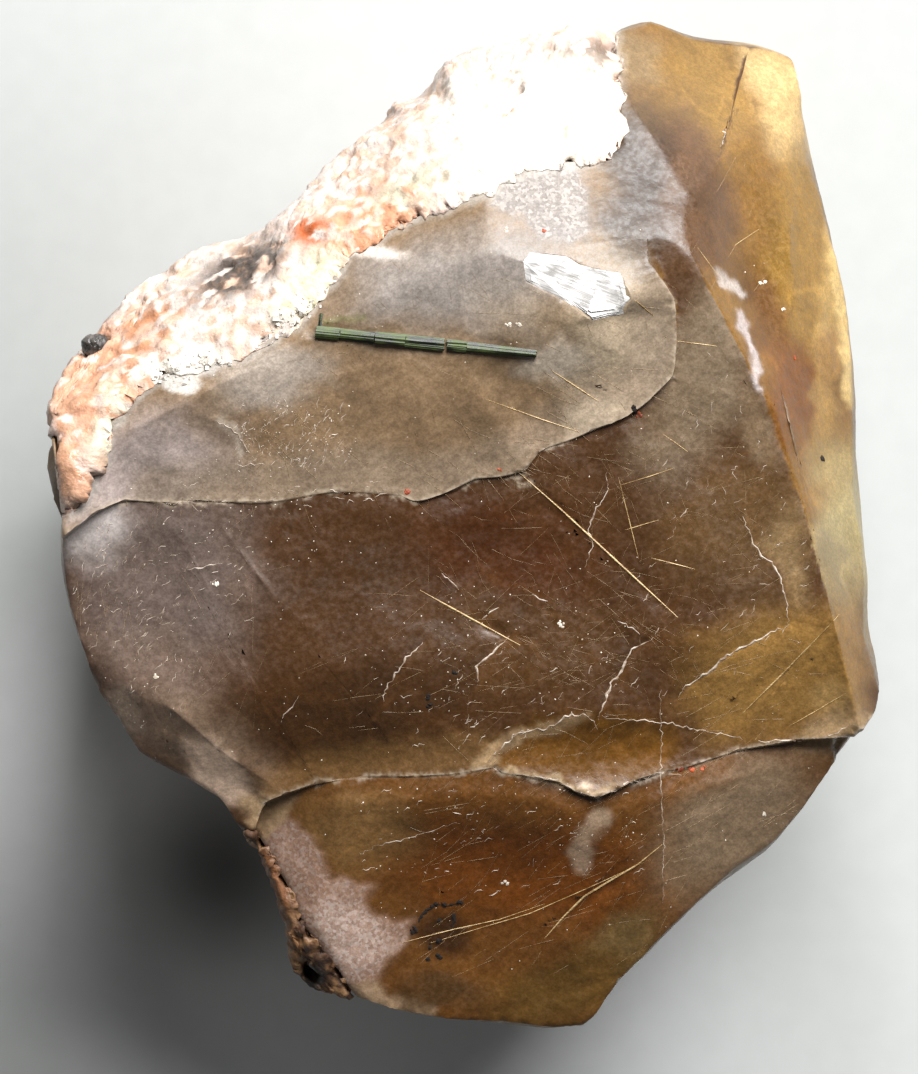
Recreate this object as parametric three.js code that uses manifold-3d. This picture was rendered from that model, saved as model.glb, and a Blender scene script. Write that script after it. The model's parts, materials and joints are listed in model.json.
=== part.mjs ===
// Rough lump of golden rutilated smoky quartz: 42 mm wide, 51 mm long and 28 mm thick.
// It lies on a flat broken face. A pale fracture plate, the brown main face and a lower face
// look up, one over the other, with a scalloped ledge where each layer has broken back.
// Feldspar matrix is grown on the far left flank, and an iron-stained crust on the near left edge.
// A green actinolite needle, a mica flake and five golden rutile needles lie in the upper faces.
// Units are millimetres and +Z is up. The origin is under the middle of the lump, on its base.
import * as THREE from "three";
import { ImprovedNoise } from "three/addons/math/ImprovedNoise.js";
import { mergeVertices } from "three/addons/utils/BufferGeometryUtils.js";
import Module from "manifold-3d";

const wasm = await Module();
wasm.setup();
const DOWN = new THREE.Vector3(0, 0, -1);

// Driving dimensions.
const rawHeight = 32; // height of the uncut block, above every upper face
const farOut = 90; // side of the block that a flat cut takes away
const seatGap = 0.1; // clearance between minerals that touch
const weldDistance = 1e-4; // vertices nearer than this are one vertex

// Facet sizes of the finished surfaces, as the longest edge that stays unsplit.
const facetEdge = { quartz: 5.6, crust: 4.4 };

// Broken surfaces are never quite flat: each wave bends them by up to its reach.
const fractureWaves = [
  { reach: 0.45, length: 9 },
  { reach: 0.2, length: 5.1 },
];
const crustLumps = [
  { reach: 0.75, length: 3.4 },
  { reach: 0.35, length: 2.3 },
];
const baseFade = 3; // height over which the waves grow from the flat base
const crustFade = { from: 0.2, to: 2 }; // height above a crust's lower end over which lumps grow
const seatCalm = { from: 0.9, to: 2.6 }; // distance from a seat over which the waves grow

// Outline of the whole lump seen from above, counterclockwise from the lower tip.
const lumpOutline = [
  [6.3, -25.4], [7.0, -24.8], [8.1, -23.2], [9.8, -21.5], [11.8, -19.5], [13.8, -17.7],
  [15.6, -16.4], [17.6, -14.1], [18.9, -12.2], [19.9, -10.6], [21.0, -9.6], [21.3, -8.5],
  [21.0, -6.5], [20.6, -5.4], [20.7, -3.0], [20.4, -0.5], [20.0, 2.0], [19.9, 5.5],
  [19.6, 9.5], [19.1, 13.0], [18.3, 16.2], [17.6, 19.0], [17.4, 21.7], [17.0, 23.7],
  [15.0, 24.3], [12.0, 24.6], [9.5, 25.2], [7.5, 24.6], [5.5, 24.4], [3.0, 24.1],
  [1.5, 23.8], [-0.3, 22.9], [-1.4, 21.6], [-2.9, 20.9], [-4.3, 19.5], [-5.8, 18.3],
  [-7.8, 16.5], [-8.5, 15.3], [-10.8, 14.3], [-13.3, 13.6], [-14.8, 12.3], [-16.0, 12.0],
  [-17.5, 10.1], [-18.6, 8.8], [-19.8, 7.1], [-20.4, 5.8], [-20.4, 4.4], [-20.9, 3.5],
  [-21.1, 1.2], [-20.8, -0.8], [-20.0, -1.8], [-19.7, -4.0], [-19.1, -6.5], [-18.3, -9.0],
  [-17.4, -11.0], [-15.5, -12.1], [-13.5, -13.2], [-12.2, -14.0], [-11.1, -15.4],
  [-9.9, -16.6], [-9.2, -18.5], [-8.6, -20.5], [-8.5, -22.4], [-7.9, -23.2], [-6.2, -23.8],
  [-3.8, -24.5], [-1.0, -24.9], [2.0, -25.3], [4.3, -25.5],
];

// Outline of the pale plate, which overlies the main face. Its lower and right edges are the
// ledge, and the other two sides run out past the lump.
const plateOutline = [
  [-23, -1.4], [-20.0, -1.1], [-18.3, 0.3], [-16.7, 0.9], [-15.0, 0.7], [-12.8, 0.9],
  [-10.6, 1.0], [-9.1, 1.1], [-7.7, 1.5], [-6.6, 1.7], [-5.2, 1.7], [-4.0, 1.6],
  [-2.8, 1.4], [-2.1, 1.0], [-1.2, 1.1], [0, 1.5], [0.9, 2.1], [2.0, 2.1],
  [3.2, 2.4], [3.7, 2.9], [4.3, 3.7], [5.6, 4.1], [6.9, 4.6], [7.9, 4.9],
  [8.6, 5.3], [9.7, 6.3], [10.5, 7.1], [10.6, 8.1], [10.7, 9.7], [10.8, 11.0],
  [10.1, 12.2], [9.5, 12.9], [9.5, 16.5], [9.8, 28], [-23, 28],
];

// Outline of the lower face, which underlies the main face. Its upper edge is the second ledge.
const lowerOutline = [
  [-10.8, -17.2], [-12, -28], [23, -28], [23, -10.0], [19.3, -10.8], [17.0, -11.1],
  [14.0, -11.6], [11.1, -12.5], [10.1, -12.6], [8.6, -13.1], [7.8, -13.5], [6.9, -13.9],
  [5.9, -13.6], [4.8, -13.0], [3.6, -12.8], [1.8, -12.6], [1.4, -12.3], [-0.2, -12.6],
  [-2.5, -12.8], [-4.7, -13.0], [-7.1, -13.3], [-9.8, -14.2],
];

// Where the feldspar meets the quartz: a line in plan with the feldspar on its left hand. It runs
// in from the left side, round the lobe and across the top to the far tip.
const crustContact = [
  [-24, 4.3], [-20.2, 4.1], [-19.8, 0.2], [-19.1, 0.9], [-18.0, 2.8], [-17.7, 4.5],
  [-16.3, 6.3], [-14.8, 7.3], [-11.3, 8.1], [-8.5, 9.5], [-6.5, 11.8], [-5.8, 13.3],
  [-3.0, 14.8], [-0.5, 15.8], [1.5, 16.5], [3.0, 17.6], [5.0, 17.9], [7.0, 18.0],
  [7.9, 19.0], [7.9, 22.0], [7.6, 27],
];
const crustOuterCorners = [[-24, 27]];

// Where the iron-stained crust meets the quartz, with the crust on its left hand.
const ironContact = [
  [-5.2, -27], [-4.9, -24.6], [-5.6, -23.5], [-6.1, -22.6], [-7.1, -21.5], [-8.0, -20.1],
  [-8.6, -18.6], [-9.5, -16.9], [-10.3, -15.6],
];
const ironOuterCorners = [[-13, -15.6], [-13, -27]];
const ironLow = 6.5; // height at which the iron-stained crust starts
const ironPit = { at: [-7.6, -22.7], sunk: 0, radii: [0.5, 0.75, 1.4], turn: 0.6 };

// Left lobe of the quartz, which stands lower than the crust beside it.
const lobeOutline = [
  [-23, -2.6], [-20.0, -2.0], [-19.8, 0.4], [-20.1, 2.6], [-20.4, 4.2], [-23, 4.4],
];

// Flat cuts. Each takes away what lies beyond the point on the side that it faces.
const upperCuts = {
  plate: { through: [-3, 8, 27.9], facing: [-0.05, -0.03, 1] },
  plateFarSlope: { through: [-0.5, 15.3, 27.4], facing: [0.123, 0.512, 0.851] },
  crustShoulder: { through: [-8.5, 9.5, 27.0], facing: [-0.31, 0.5, 0.81] },
  crustFlank: { through: [-10.2, 12.2, 24.2], facing: [-0.45, 0.72, 0.53] },
  rightFlank: { through: [12.7, 12.3, 25.9], facing: [0.73, 0.32, 0.6] },
  rightFarFlank: { through: [9.2, 16, 26.9], facing: [0.45, 0.62, 0.643] },
  rightRim: { through: [17.6, 10, 20.2], facing: [0.86, 0.22, 0.46] },
};
const mainCuts = {
  mainFace: { through: [-3, -4, 26], facing: [0.02, -0.05, 1] },
  mainLeftSlope: { through: [-14.5, -5, 26.3], facing: [-0.2, -0.03, 1] },
  lowerLeftChip: { through: [-12, -12.2, 25.2], facing: [-0.35, -0.5, 0.8] },
};
const lowerCuts = {
  lowerFace: { through: [2, -12.6, 24.8], facing: [0, -0.32, 0.95] },
  lowerRight: { through: [10, -13, 24.6], facing: [0.3, -0.3, 0.9] },
  lowerLeft: { through: [-6.5, -16, 23.6], facing: [-0.42, -0.2, 0.88] },
};
const lobeCut = { through: [-20.6, 1.5, 17], facing: [-0.5, 0.1, 0.8] };
const undersideCuts = {
  nearRight: { through: [13.7, -17.5, 18.5], facing: [0.69, -0.62, -0.33] },
  near: { through: [0, -24.8, 18.5], facing: [-0.115, -0.9, -0.4] },
  nearLeft: { through: [-11, -17.9, 19], facing: [-0.82, -0.45, -0.32] },
  left: { through: [-19.2, -5.5, 18], facing: [-0.91, -0.252, -0.3] },
  farLeft: { through: [-11.6, 13.6, 13], facing: [-0.632, 0.732, -0.2] },
  far: { through: [8, 24.1, 10], facing: [-0.1, 0.97, -0.16] },
  right: { through: [19.6, 6, 9], facing: [0.93, 0.16, -0.27] },
  nearRightCorner: { through: [20.9, -6.5, 15], facing: [0.87, -0.2, -0.45] },
};

// Shell-shaped fracture scars: shallow dishes in the cuts, each centred on a place in plan.
const scars = [
  { cut: mainCuts.mainFace, x: 3, y: -4, width: 21, length: 16, depth: 0.6 },
  { cut: mainCuts.mainFace, x: 15.5, y: -3.5, width: 8, length: 12, depth: 0.35 },
  { cut: mainCuts.mainFace, x: 6.2, y: -11.6, width: 11, length: 5, depth: 0.75 },
  { cut: mainCuts.mainLeftSlope, x: -14, y: -5, width: 9, length: 12, depth: 0.4 },
  { cut: upperCuts.plate, x: -1, y: 7.5, width: 19, length: 11, depth: 0.45 },
  { cut: lowerCuts.lowerFace, x: 1, y: -19, width: 15, length: 10, depth: 0.6 },
  { cut: upperCuts.rightFlank, x: 14.8, y: 13.5, width: 6, length: 13, depth: 0.5 },
  { cut: upperCuts.rightFlank, x: 17.3, y: 3.5, width: 4, length: 9, depth: 0.35 },
  { cut: undersideCuts.nearRight, x: 9.5, y: -15, width: 16, length: 12, depth: 1.2 },
  { cut: undersideCuts.left, x: -16, y: -5, width: 12, length: 15, depth: 1.1 },
  { cut: undersideCuts.right, x: 17, y: 8, width: 11, length: 14, depth: 0.9 },
  { cut: undersideCuts.far, x: 11, y: 23, width: 11, length: 9, depth: 0.8 },
  { cut: undersideCuts.near, x: 0.5, y: -20, width: 12, length: 11, depth: 1.0 },
];
const scarShape = { rings: 4, spokes: 18, overlap: 1.35, rippleCount: 2, rippleHeight: 0.05 };

// Green actinolite needle, lying in the plate and broken across in places.
const actinolite = {
  from: [-7.2, 9.35],
  to: [3.75, 8.25],
  radius: 0.34,
  sunk: -0.05,
  breaks: [0.11, 0.27, 0.41, 0.585, 0.69],
  breakWidth: 0.02,
  taperFrom: 0.85,
  sides: 6,
};

// Mica flake, let into the plate near its right edge.
const mica = {
  outline: [
    [3.6, 13.2], [3.3, 12.8], [3.4, 11.9], [4.2, 11.5], [5.5, 10.8], [6.6, 10.0],
    [7.4, 10.2], [8.0, 10.3], [8.3, 11.0], [8.0, 11.8], [7.9, 12.2], [6.6, 12.4],
    [5.9, 12.6], [5.3, 13.0],
  ],
  middle: [5.8, 11.6],
  facing: [-0.06, 0.02, 1],
  thickness: 0.5,
  proud: 0.06,
};

// Golden rutile needles that lie along the broken faces, each from one end to the other.
const rutileNeedles = [
  { from: [2.95, 1.9], to: [10.85, -4.85], thickness: 0.2 },
  { from: [0.15, -4.7], to: [3.0, -6.25], thickness: 0.18 },
  { from: [4.25, -21], to: [8.9, -17.25], thickness: 0.2 },
  { from: [13.9, -9.5], to: [17.6, -6.1], thickness: 0.16 },
  { from: [4.6, 7.4], to: [6.9, 5.9], thickness: 0.16 },
];
const rutileSunk = 0.06; // depth of a rutile needle's middle line under the face it lies in

// Smoky grain that stands out of the feldspar at its left end.
const smokyGrain = { at: [-18.3, 8.75], sunk: 0.15, radii: [0.75, 0.65, 0.8] };

// Lines in plan beside which surfaces stay as cut.
const seatLines = [
  crustContact,
  ironContact,
  mica.outline,
  [actinolite.from, actinolite.to],
  [smokyGrain.at, smokyGrain.at],
  ...rutileNeedles.map((needle) => [needle.from, needle.to]),
];

// A geometry as a solid that booleans can use.
function solidOf(geometry) {
  const bare = new THREE.BufferGeometry();
  bare.setAttribute("position", geometry.getAttribute("position"));
  if (geometry.index) bare.setIndex(geometry.index);
  const welded = mergeVertices(bare, weldDistance);
  return new wasm.Manifold(
    new wasm.Mesh({
      numProp: 3,
      vertProperties: new Float32Array(welded.attributes.position.array),
      triVerts: new Uint32Array(welded.index.array),
    }),
  );
}

// An upright prism on an outline given counterclockwise.
function prism(outline, low, high) {
  const shape = new THREE.Shape(outline.map(([x, y]) => new THREE.Vector2(x, y)));
  const geometry = new THREE.ExtrudeGeometry(shape, { depth: high - low, bevelEnabled: false });
  geometry.translate(0, 0, low);
  return solidOf(geometry);
}

// The block that a flat cut takes away: its near side passes through the cut's point.
function beyond({ through, facing }) {
  const geometry = new THREE.BoxGeometry(farOut, farOut, farOut);
  geometry.translate(0, 0, farOut / 2);
  return facingSolid(geometry, facing, through);
}

// A solid turned so that its own upright axis faces outwards, and moved to a point.
function facingSolid(geometry, facing, point) {
  const outward = new THREE.Vector3(...facing).normalize();
  const turn = new THREE.Quaternion().setFromUnitVectors(new THREE.Vector3(0, 0, 1), outward);
  geometry.applyQuaternion(turn);
  geometry.translate(...point);
  return solidOf(geometry);
}

// The point of a cut's plane that is over a place in plan.
function pointOnCut({ through, facing }, x, y) {
  const fall = facing[0] * (x - through[0]) + facing[1] * (y - through[1]);
  return [x, y, through[2] - fall / facing[2]];
}

// The lens that a scar takes away: a dish with faint rings, and a flat top outside the rock.
function scarLens({ cut, x, y, width, length, depth }) {
  const { rings, spokes, overlap, rippleCount, rippleHeight } = scarShape;
  const profile = [];
  for (let i = 0; i <= rings; i++) {
    const share = (overlap * i) / rings;
    const ripple = rippleHeight * Math.sin(share * rippleCount * 2 * Math.PI);
    profile.push(new THREE.Vector2(share, depth * (share * share - 1) + ripple));
  }
  const top = depth * (overlap * overlap - 1) + 1;
  profile.push(new THREE.Vector2(overlap, top), new THREE.Vector2(0, top));
  const geometry = new THREE.LatheGeometry(profile, spokes);
  geometry.rotateX(Math.PI / 2);
  geometry.scale(width / 2, length / 2, 1);
  return facingSolid(geometry, cut.facing, pointOnCut(cut, x, y));
}

// The flat broken block that holds the quartz and both crusts, before it is parted.
function brokenLump() {
  const plateColumn = prism(plateOutline, -1, rawHeight + 1);
  const lowerColumn = prism(lowerOutline, -1, rawHeight + 1);
  const lobeColumn = prism(lobeOutline, -1, rawHeight + 1);
  let lump = prism(lumpOutline, 0, rawHeight);
  const cuts = [...Object.values(upperCuts), ...Object.values(undersideCuts)];
  for (const cut of cuts) lump = lump.subtract(beyond(cut));
  for (const cut of Object.values(mainCuts)) {
    lump = lump.subtract(beyond(cut).subtract(plateColumn));
  }
  for (const cut of Object.values(lowerCuts)) {
    lump = lump.subtract(beyond(cut).intersect(lowerColumn));
  }
  lump = lump.subtract(beyond(lobeCut).intersect(lobeColumn));
  // A scar stays in its own layer: the main face's stop at the plate, which lies over them.
  for (const scar of scars) {
    let lens = scarLens(scar);
    if (Object.values(mainCuts).includes(scar.cut)) lens = lens.subtract(plateColumn);
    if (Object.values(lowerCuts).includes(scar.cut)) lens = lens.intersect(lowerColumn);
    lump = lump.subtract(lens);
  }
  return lump;
}

// A line in plan moved to its left hand by a clearance, with its corners mitred.
function movedLeft(line, clearance) {
  const points = line.map(([x, y]) => new THREE.Vector2(x, y));
  const leftOf = (from, to) => new THREE.Vector2(from.y - to.y, to.x - from.x).normalize();
  return points.map((point, i) => {
    const before = i > 0 ? leftOf(points[i - 1], point) : leftOf(point, points[i + 1]);
    const after = i < points.length - 1 ? leftOf(point, points[i + 1]) : before;
    const mitre = before.clone().add(after).normalize();
    const moved = point.clone().addScaledVector(mitre, clearance / mitre.dot(before));
    return [moved.x, moved.y];
  });
}

// The column on the left hand of a contact line, moved off that line by a clearance.
function contactColumn(contact, corners, clearance, low, high) {
  const outline = [...movedLeft(contact, clearance), ...corners];
  const points = outline.map(([x, y]) => new THREE.Vector2(x, y));
  return prism(THREE.ShapeUtils.isClockWise(points) ? outline.reverse() : outline, low, high);
}

// The height of the lump's upper surface over a place in plan, less a depth.
function heightUnder(surface, [x, y], sunk) {
  const down = new THREE.Raycaster(new THREE.Vector3(x, y, rawHeight + 1), DOWN);
  return down.intersectObject(surface)[0].point.z - sunk;
}

// A line laid on the lump's upper surface between two places in plan, less a depth.
function laidLine(surface, { from, to }, sunk) {
  return [from, to].map((place) => [...place, heightUnder(surface, place, sunk)]);
}

// A ball squashed to three radii, turned about the upright axis and set in the lump's surface.
function ellipsoid(surface, { at, sunk, radii, turn = 0 }, margin = 0) {
  const geometry = new THREE.IcosahedronGeometry(1, 2);
  geometry.scale(...radii.map((radius) => radius + margin));
  geometry.rotateZ(turn);
  geometry.translate(...at, heightUnder(surface, at, sunk));
  return solidOf(geometry);
}

// A turned profile laid from one point to another.
function layAlong(profile, sides, from, to) {
  const start = new THREE.Vector3(...from);
  const along = new THREE.Vector3(...to).sub(start).normalize();
  const geometry = new THREE.LatheGeometry(profile, sides);
  const turn = new THREE.Quaternion().setFromUnitVectors(new THREE.Vector3(0, 1, 0), along);
  geometry.applyQuaternion(turn);
  geometry.translate(...from);
  return solidOf(geometry);
}

function distanceBetween(from, to) {
  return new THREE.Vector3(...from).distanceTo(new THREE.Vector3(...to));
}

// The actinolite needle, with a notch round it at each break and a thinner far end.
function actinoliteSolid(surface, margin = 0) {
  const { radius, sunk, breaks, breakWidth, taperFrom, sides } = actinolite;
  const [from, to] = laidLine(surface, actinolite, sunk);
  const length = distanceBetween(from, to);
  const wide = radius + margin;
  const notch = margin > 0 ? wide : radius * 0.82;
  const profile = [new THREE.Vector2(0, -margin), new THREE.Vector2(wide * 0.85, -margin)];
  for (const share of breaks) {
    profile.push(new THREE.Vector2(wide, (share - breakWidth / 2) * length));
    profile.push(new THREE.Vector2(notch, share * length));
    profile.push(new THREE.Vector2(wide, (share + breakWidth / 2) * length));
  }
  profile.push(new THREE.Vector2(wide, taperFrom * length));
  profile.push(new THREE.Vector2(radius * 0.5 + margin, length + margin));
  profile.push(new THREE.Vector2(0, length + margin));
  return layAlong(profile, sides, from, to);
}

// The mica flake, laid in the plate's surface. A margin grows it sideways and downwards, and a
// margin of its own lifts its top.
function micaSolid(surface, margin = 0, lift = 0) {
  const { outline, middle, facing, thickness, proud } = mica;
  const moved = movedLeft([...outline, outline[0]], -margin).slice(1);
  const shape = new THREE.Shape(moved.map(([x, y]) => new THREE.Vector2(x, y)));
  const depth = thickness + margin + lift;
  const geometry = new THREE.ExtrudeGeometry(shape, { depth, bevelEnabled: false });
  geometry.translate(-middle[0], -middle[1], -thickness - margin);
  return facingSolid(geometry, facing, [...middle, heightUnder(surface, middle, -proud)]);
}

// A rutile needle: a four-sided prism with pointed ends.
function rutileSolid(surface, needle, margin = 0) {
  const [from, to] = laidLine(surface, needle, rutileSunk);
  const { thickness } = needle;
  const length = distanceBetween(from, to);
  const radius = (thickness / 2 + margin) * Math.SQRT2;
  const profile = [
    new THREE.Vector2(0, -margin * 2),
    new THREE.Vector2(radius, thickness * 2 - margin),
    new THREE.Vector2(radius, length - thickness * 2 + margin),
    new THREE.Vector2(0, length + margin * 2),
  ];
  return layAlong(profile, 4, from, to);
}

// A solid as lists of points and triangles.
function facetsOf(solid) {
  const { vertProperties, triVerts, numProp } = solid.getMesh();
  const points = [];
  for (let i = 0; i < vertProperties.length; i += numProp) {
    points.push(new THREE.Vector3(...vertProperties.subarray(i, i + 3)));
  }
  const triangles = [];
  for (let i = 0; i < triVerts.length; i += 3) {
    triangles.push([...triVerts.subarray(i, i + 3)]);
  }
  return { points, triangles };
}

// Splits every edge that is too long at its middle, on both of its faces, until none is left.
function splitLongEdges({ points, triangles }, longest) {
  let current = triangles;
  for (;;) {
    const middles = new Map();
    const middleOf = (a, b) => {
      const key = a < b ? `${a} ${b}` : `${b} ${a}`;
      if (!middles.has(key)) {
        const isLong = points[a].distanceTo(points[b]) > longest;
        const middle = new THREE.Vector3().addVectors(points[a], points[b]).multiplyScalar(0.5);
        middles.set(key, isLong ? points.push(middle) - 1 : -1);
      }
      return middles.get(key);
    };
    const next = current.flatMap((corners) => splitTriangle(corners, middleOf, points));
    if (next.length === current.length) return { points, triangles: next };
    current = next;
  }
}

// The one to four triangles that a triangle becomes when its long edges are split.
function splitTriangle([a, b, c], middleOf, points) {
  const ab = middleOf(a, b);
  const bc = middleOf(b, c);
  const ca = middleOf(c, a);
  const splits = [ab, bc, ca].filter((middle) => middle >= 0).length;
  if (splits === 0) return [[a, b, c]];
  if (splits === 3) return [[a, ab, ca], [ab, b, bc], [ca, bc, c], [ab, bc, ca]];
  if (splits === 1) {
    if (ab >= 0) return [[a, ab, c], [ab, b, c]];
    if (bc >= 0) return [[a, b, bc], [a, bc, c]];
    return [[a, b, ca], [ca, b, c]];
  }
  if (ab < 0) return splitTwice([c, a, b], ca, bc, points);
  if (bc < 0) return splitTwice([a, b, c], ab, ca, points);
  return splitTwice([b, c, a], bc, ab, points);
}

// Splits a triangle whose first corner lies between its two long edges, on its shorter diagonal.
function splitTwice([apex, right, left], apexRight, apexLeft, points) {
  const tip = [apex, apexRight, apexLeft];
  const toLeft = points[apexRight].distanceTo(points[left]);
  const toRight = points[apexLeft].distanceTo(points[right]);
  if (toLeft < toRight) return [tip, [apexRight, right, left], [apexRight, left, apexLeft]];
  return [tip, [apexRight, right, apexLeft], [apexLeft, right, left]];
}

const noise = new ImprovedNoise();

// How far a set of waves moves a point, in each direction.
function waveShift(point, waves) {
  const shift = new THREE.Vector3();
  for (const { reach, length } of waves) {
    const { x, y, z } = point.clone().divideScalar(length);
    shift.x += reach * noise.noise(x + 31.7, y, z);
    shift.y += reach * noise.noise(x, y + 57.3, z);
    shift.z += reach * noise.noise(x, y, z + 83.9);
  }
  return shift;
}

// How freely a point may move: not at all beside a seat, so that clearances stay as cut.
function freedom(point) {
  const away = Math.min(...seatLines.map((line) => distanceToLine(point, line)));
  return THREE.MathUtils.smoothstep(away, seatCalm.from, seatCalm.to);
}

// Bends a surface as the broken rock is bent, and keeps what lies in the base plane there.
function bendPoint(point, extraShift) {
  const shift = waveShift(point, fractureWaves);
  if (extraShift) shift.add(extraShift(point));
  shift.multiplyScalar(freedom(point));
  shift.z *= THREE.MathUtils.smoothstep(point.z, 0, baseFade);
  point.add(shift);
}

// The shortest distance in plan from a point to a line of points.
function distanceToLine(point, line) {
  let nearest = Infinity;
  const spot = new THREE.Vector3(point.x, point.y, 0);
  const foot = new THREE.Vector3();
  for (let i = 1; i < line.length; i++) {
    const [from, to] = [line[i - 1], line[i]].map(([x, y]) => new THREE.Vector3(x, y, 0));
    new THREE.Line3(from, to).closestPointToPoint(spot, true, foot);
    nearest = Math.min(nearest, foot.distanceTo(spot));
  }
  return nearest;
}

// The lumps of a crust, which fade out towards its lower end.
function lumpsAbove(low, scale) {
  return (point) => {
    const rise = THREE.MathUtils.smoothstep(point.z - low, crustFade.from, crustFade.to);
    return waveShift(point, crustLumps).multiplyScalar(scale * rise);
  };
}

// A named mesh from lists of points and triangles.
function meshOf(name, { points, triangles }, material) {
  const geometry = new THREE.BufferGeometry().setFromPoints(points);
  geometry.setIndex(triangles.flat());
  const faceted = geometry.toNonIndexed();
  faceted.computeVertexNormals();
  const mesh = new THREE.Mesh(faceted, material);
  mesh.name = name;
  return mesh;
}

// A named mesh of broken rock, with its facets split and bent.
function brokenMesh(name, solid, material, longest, extraShift) {
  const facets = splitLongEdges(facetsOf(largestBody(solid)), longest);
  for (const point of facets.points) bendPoint(point, extraShift);
  return meshOf(name, facets, material);
}

const smokyQuartz = new THREE.MeshStandardMaterial({
  color: 0x8a6d4c, roughness: 0.25, metalness: 0, transparent: true, opacity: 0.8,
});
const feldspar = new THREE.MeshStandardMaterial({ color: 0xf0d2b8, roughness: 0.85, metalness: 0 });
const limonite = new THREE.MeshStandardMaterial({ color: 0x7d4f2a, roughness: 0.9, metalness: 0 });
const greenActinolite = new THREE.MeshStandardMaterial({
  color: 0x3c4a2e, roughness: 0.4, metalness: 0,
});
const silverMica = new THREE.MeshStandardMaterial({ color: 0xe9e6e4, roughness: 0.3, metalness: 0 });
const goldenRutile = new THREE.MeshStandardMaterial({
  color: 0xb98f4a, roughness: 0.3, metalness: 0.4,
});
const darkQuartz = new THREE.MeshStandardMaterial({ color: 0x5d564f, roughness: 0.5, metalness: 0 });

// Parts the broken lump into quartz and its two crusts, and cuts the seats of what lies in them.
function partMinerals(lump, surface) {
  const far = rawHeight + 2;
  const crustColumn = (clearance) =>
    contactColumn(crustContact, crustOuterCorners, clearance, -2, far);
  const ironColumn = (clearance) =>
    contactColumn(ironContact, ironOuterCorners, clearance, ironLow + clearance, far);
  let quartz = lump
    .subtract(crustColumn(0))
    .subtract(ironColumn(0))
    .subtract(actinoliteSolid(surface, seatGap))
    .subtract(micaSolid(surface, seatGap, 1));
  for (const needle of rutileNeedles) {
    quartz = quartz.subtract(rutileSolid(surface, needle, seatGap));
  }
  const crust = lump
    .intersect(crustColumn(seatGap))
    .subtract(ellipsoid(surface, smokyGrain, seatGap));
  const iron = lump.intersect(ironColumn(seatGap)).subtract(ellipsoid(surface, ironPit));
  return { quartz, crust, iron };
}

// Keeps the largest of a solid's separate bodies, because cuts can leave loose crumbs.
function largestBody(solid) {
  const bodies = solid.decompose();
  return bodies.reduce((best, body) => (body.volume() > best.volume() ? body : best));
}

function buildSpecimen() {
  const lump = brokenLump();
  const surface = meshOf("lump", facetsOf(lump), smokyQuartz);
  const { quartz, crust, iron } = partMinerals(lump, surface);
  const specimen = new THREE.Group();
  const feldsparLumps = lumpsAbove(0, 1);
  const ironLumps = lumpsAbove(ironLow, 0.6);
  specimen.add(
    brokenMesh("smoky_quartz", quartz, smokyQuartz, facetEdge.quartz),
    brokenMesh("feldspar_crust", crust, feldspar, facetEdge.crust, feldsparLumps),
    brokenMesh("limonite_crust", iron, limonite, facetEdge.crust, ironLumps),
    meshOf("actinolite_needle", facetsOf(actinoliteSolid(surface)), greenActinolite),
    meshOf("mica_flake", facetsOf(micaSolid(surface)), silverMica),
    meshOf("smoky_grain", facetsOf(ellipsoid(surface, smokyGrain)), darkQuartz),
  );
  rutileNeedles.forEach((needle, i) => {
    const facets = facetsOf(rutileSolid(surface, needle));
    specimen.add(meshOf(`rutile_needle_${i + 1}`, facets, goldenRutile));
  });
  // The origin goes under the middle of the lump, on its base.
  const box = new THREE.Box3().setFromObject(specimen);
  const middle = box.getCenter(new THREE.Vector3());
  specimen.position.set(-middle.x, -middle.y, -box.min.z);
  return specimen;
}

export default buildSpecimen();
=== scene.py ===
"""Golden rutilated quartz: a rough broken lump of smoky quartz, dressed for rendering.

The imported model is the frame. The quartz and its two crusts are refined from their own solids,
which keeps every ledge where the frame has it, and the needles, cracks and specks are laid on the
refined surface. Plan positions are millimetres in the drawing that the part was made from.
"""

import json
import logging
import math
import random
from dataclasses import dataclass, field
from enum import Enum
from typing import Callable, Iterable, Sequence

import bmesh
import bpy
import numpy as np
from mathutils import Matrix, Vector, noise
from mathutils.bvhtree import BVHTree
from mathutils.kdtree import KDTree

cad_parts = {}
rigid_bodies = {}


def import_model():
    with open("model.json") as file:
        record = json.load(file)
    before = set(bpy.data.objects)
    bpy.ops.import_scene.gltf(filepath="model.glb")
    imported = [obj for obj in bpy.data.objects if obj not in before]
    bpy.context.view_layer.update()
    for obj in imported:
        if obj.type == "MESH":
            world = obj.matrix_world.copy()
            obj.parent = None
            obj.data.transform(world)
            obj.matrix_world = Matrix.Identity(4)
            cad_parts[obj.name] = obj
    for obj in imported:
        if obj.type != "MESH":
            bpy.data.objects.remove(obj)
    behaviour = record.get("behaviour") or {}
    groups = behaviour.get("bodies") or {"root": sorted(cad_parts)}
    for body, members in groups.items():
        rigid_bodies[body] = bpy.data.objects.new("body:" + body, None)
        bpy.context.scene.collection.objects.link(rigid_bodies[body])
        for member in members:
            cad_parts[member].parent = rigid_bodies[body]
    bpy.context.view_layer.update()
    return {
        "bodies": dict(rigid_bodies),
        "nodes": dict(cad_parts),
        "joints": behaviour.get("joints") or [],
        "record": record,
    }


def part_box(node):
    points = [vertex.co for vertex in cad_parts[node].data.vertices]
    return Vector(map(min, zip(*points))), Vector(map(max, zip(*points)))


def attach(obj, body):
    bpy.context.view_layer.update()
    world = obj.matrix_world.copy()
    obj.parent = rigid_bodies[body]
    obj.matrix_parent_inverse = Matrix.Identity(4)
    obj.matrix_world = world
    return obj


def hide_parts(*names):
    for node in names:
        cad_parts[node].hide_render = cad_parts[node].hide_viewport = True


MM = 0.001
BODY = "root"
LOG = logging.getLogger("quartz")

Plan = tuple[float, float]
Rgb = tuple[float, float, float]


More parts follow.
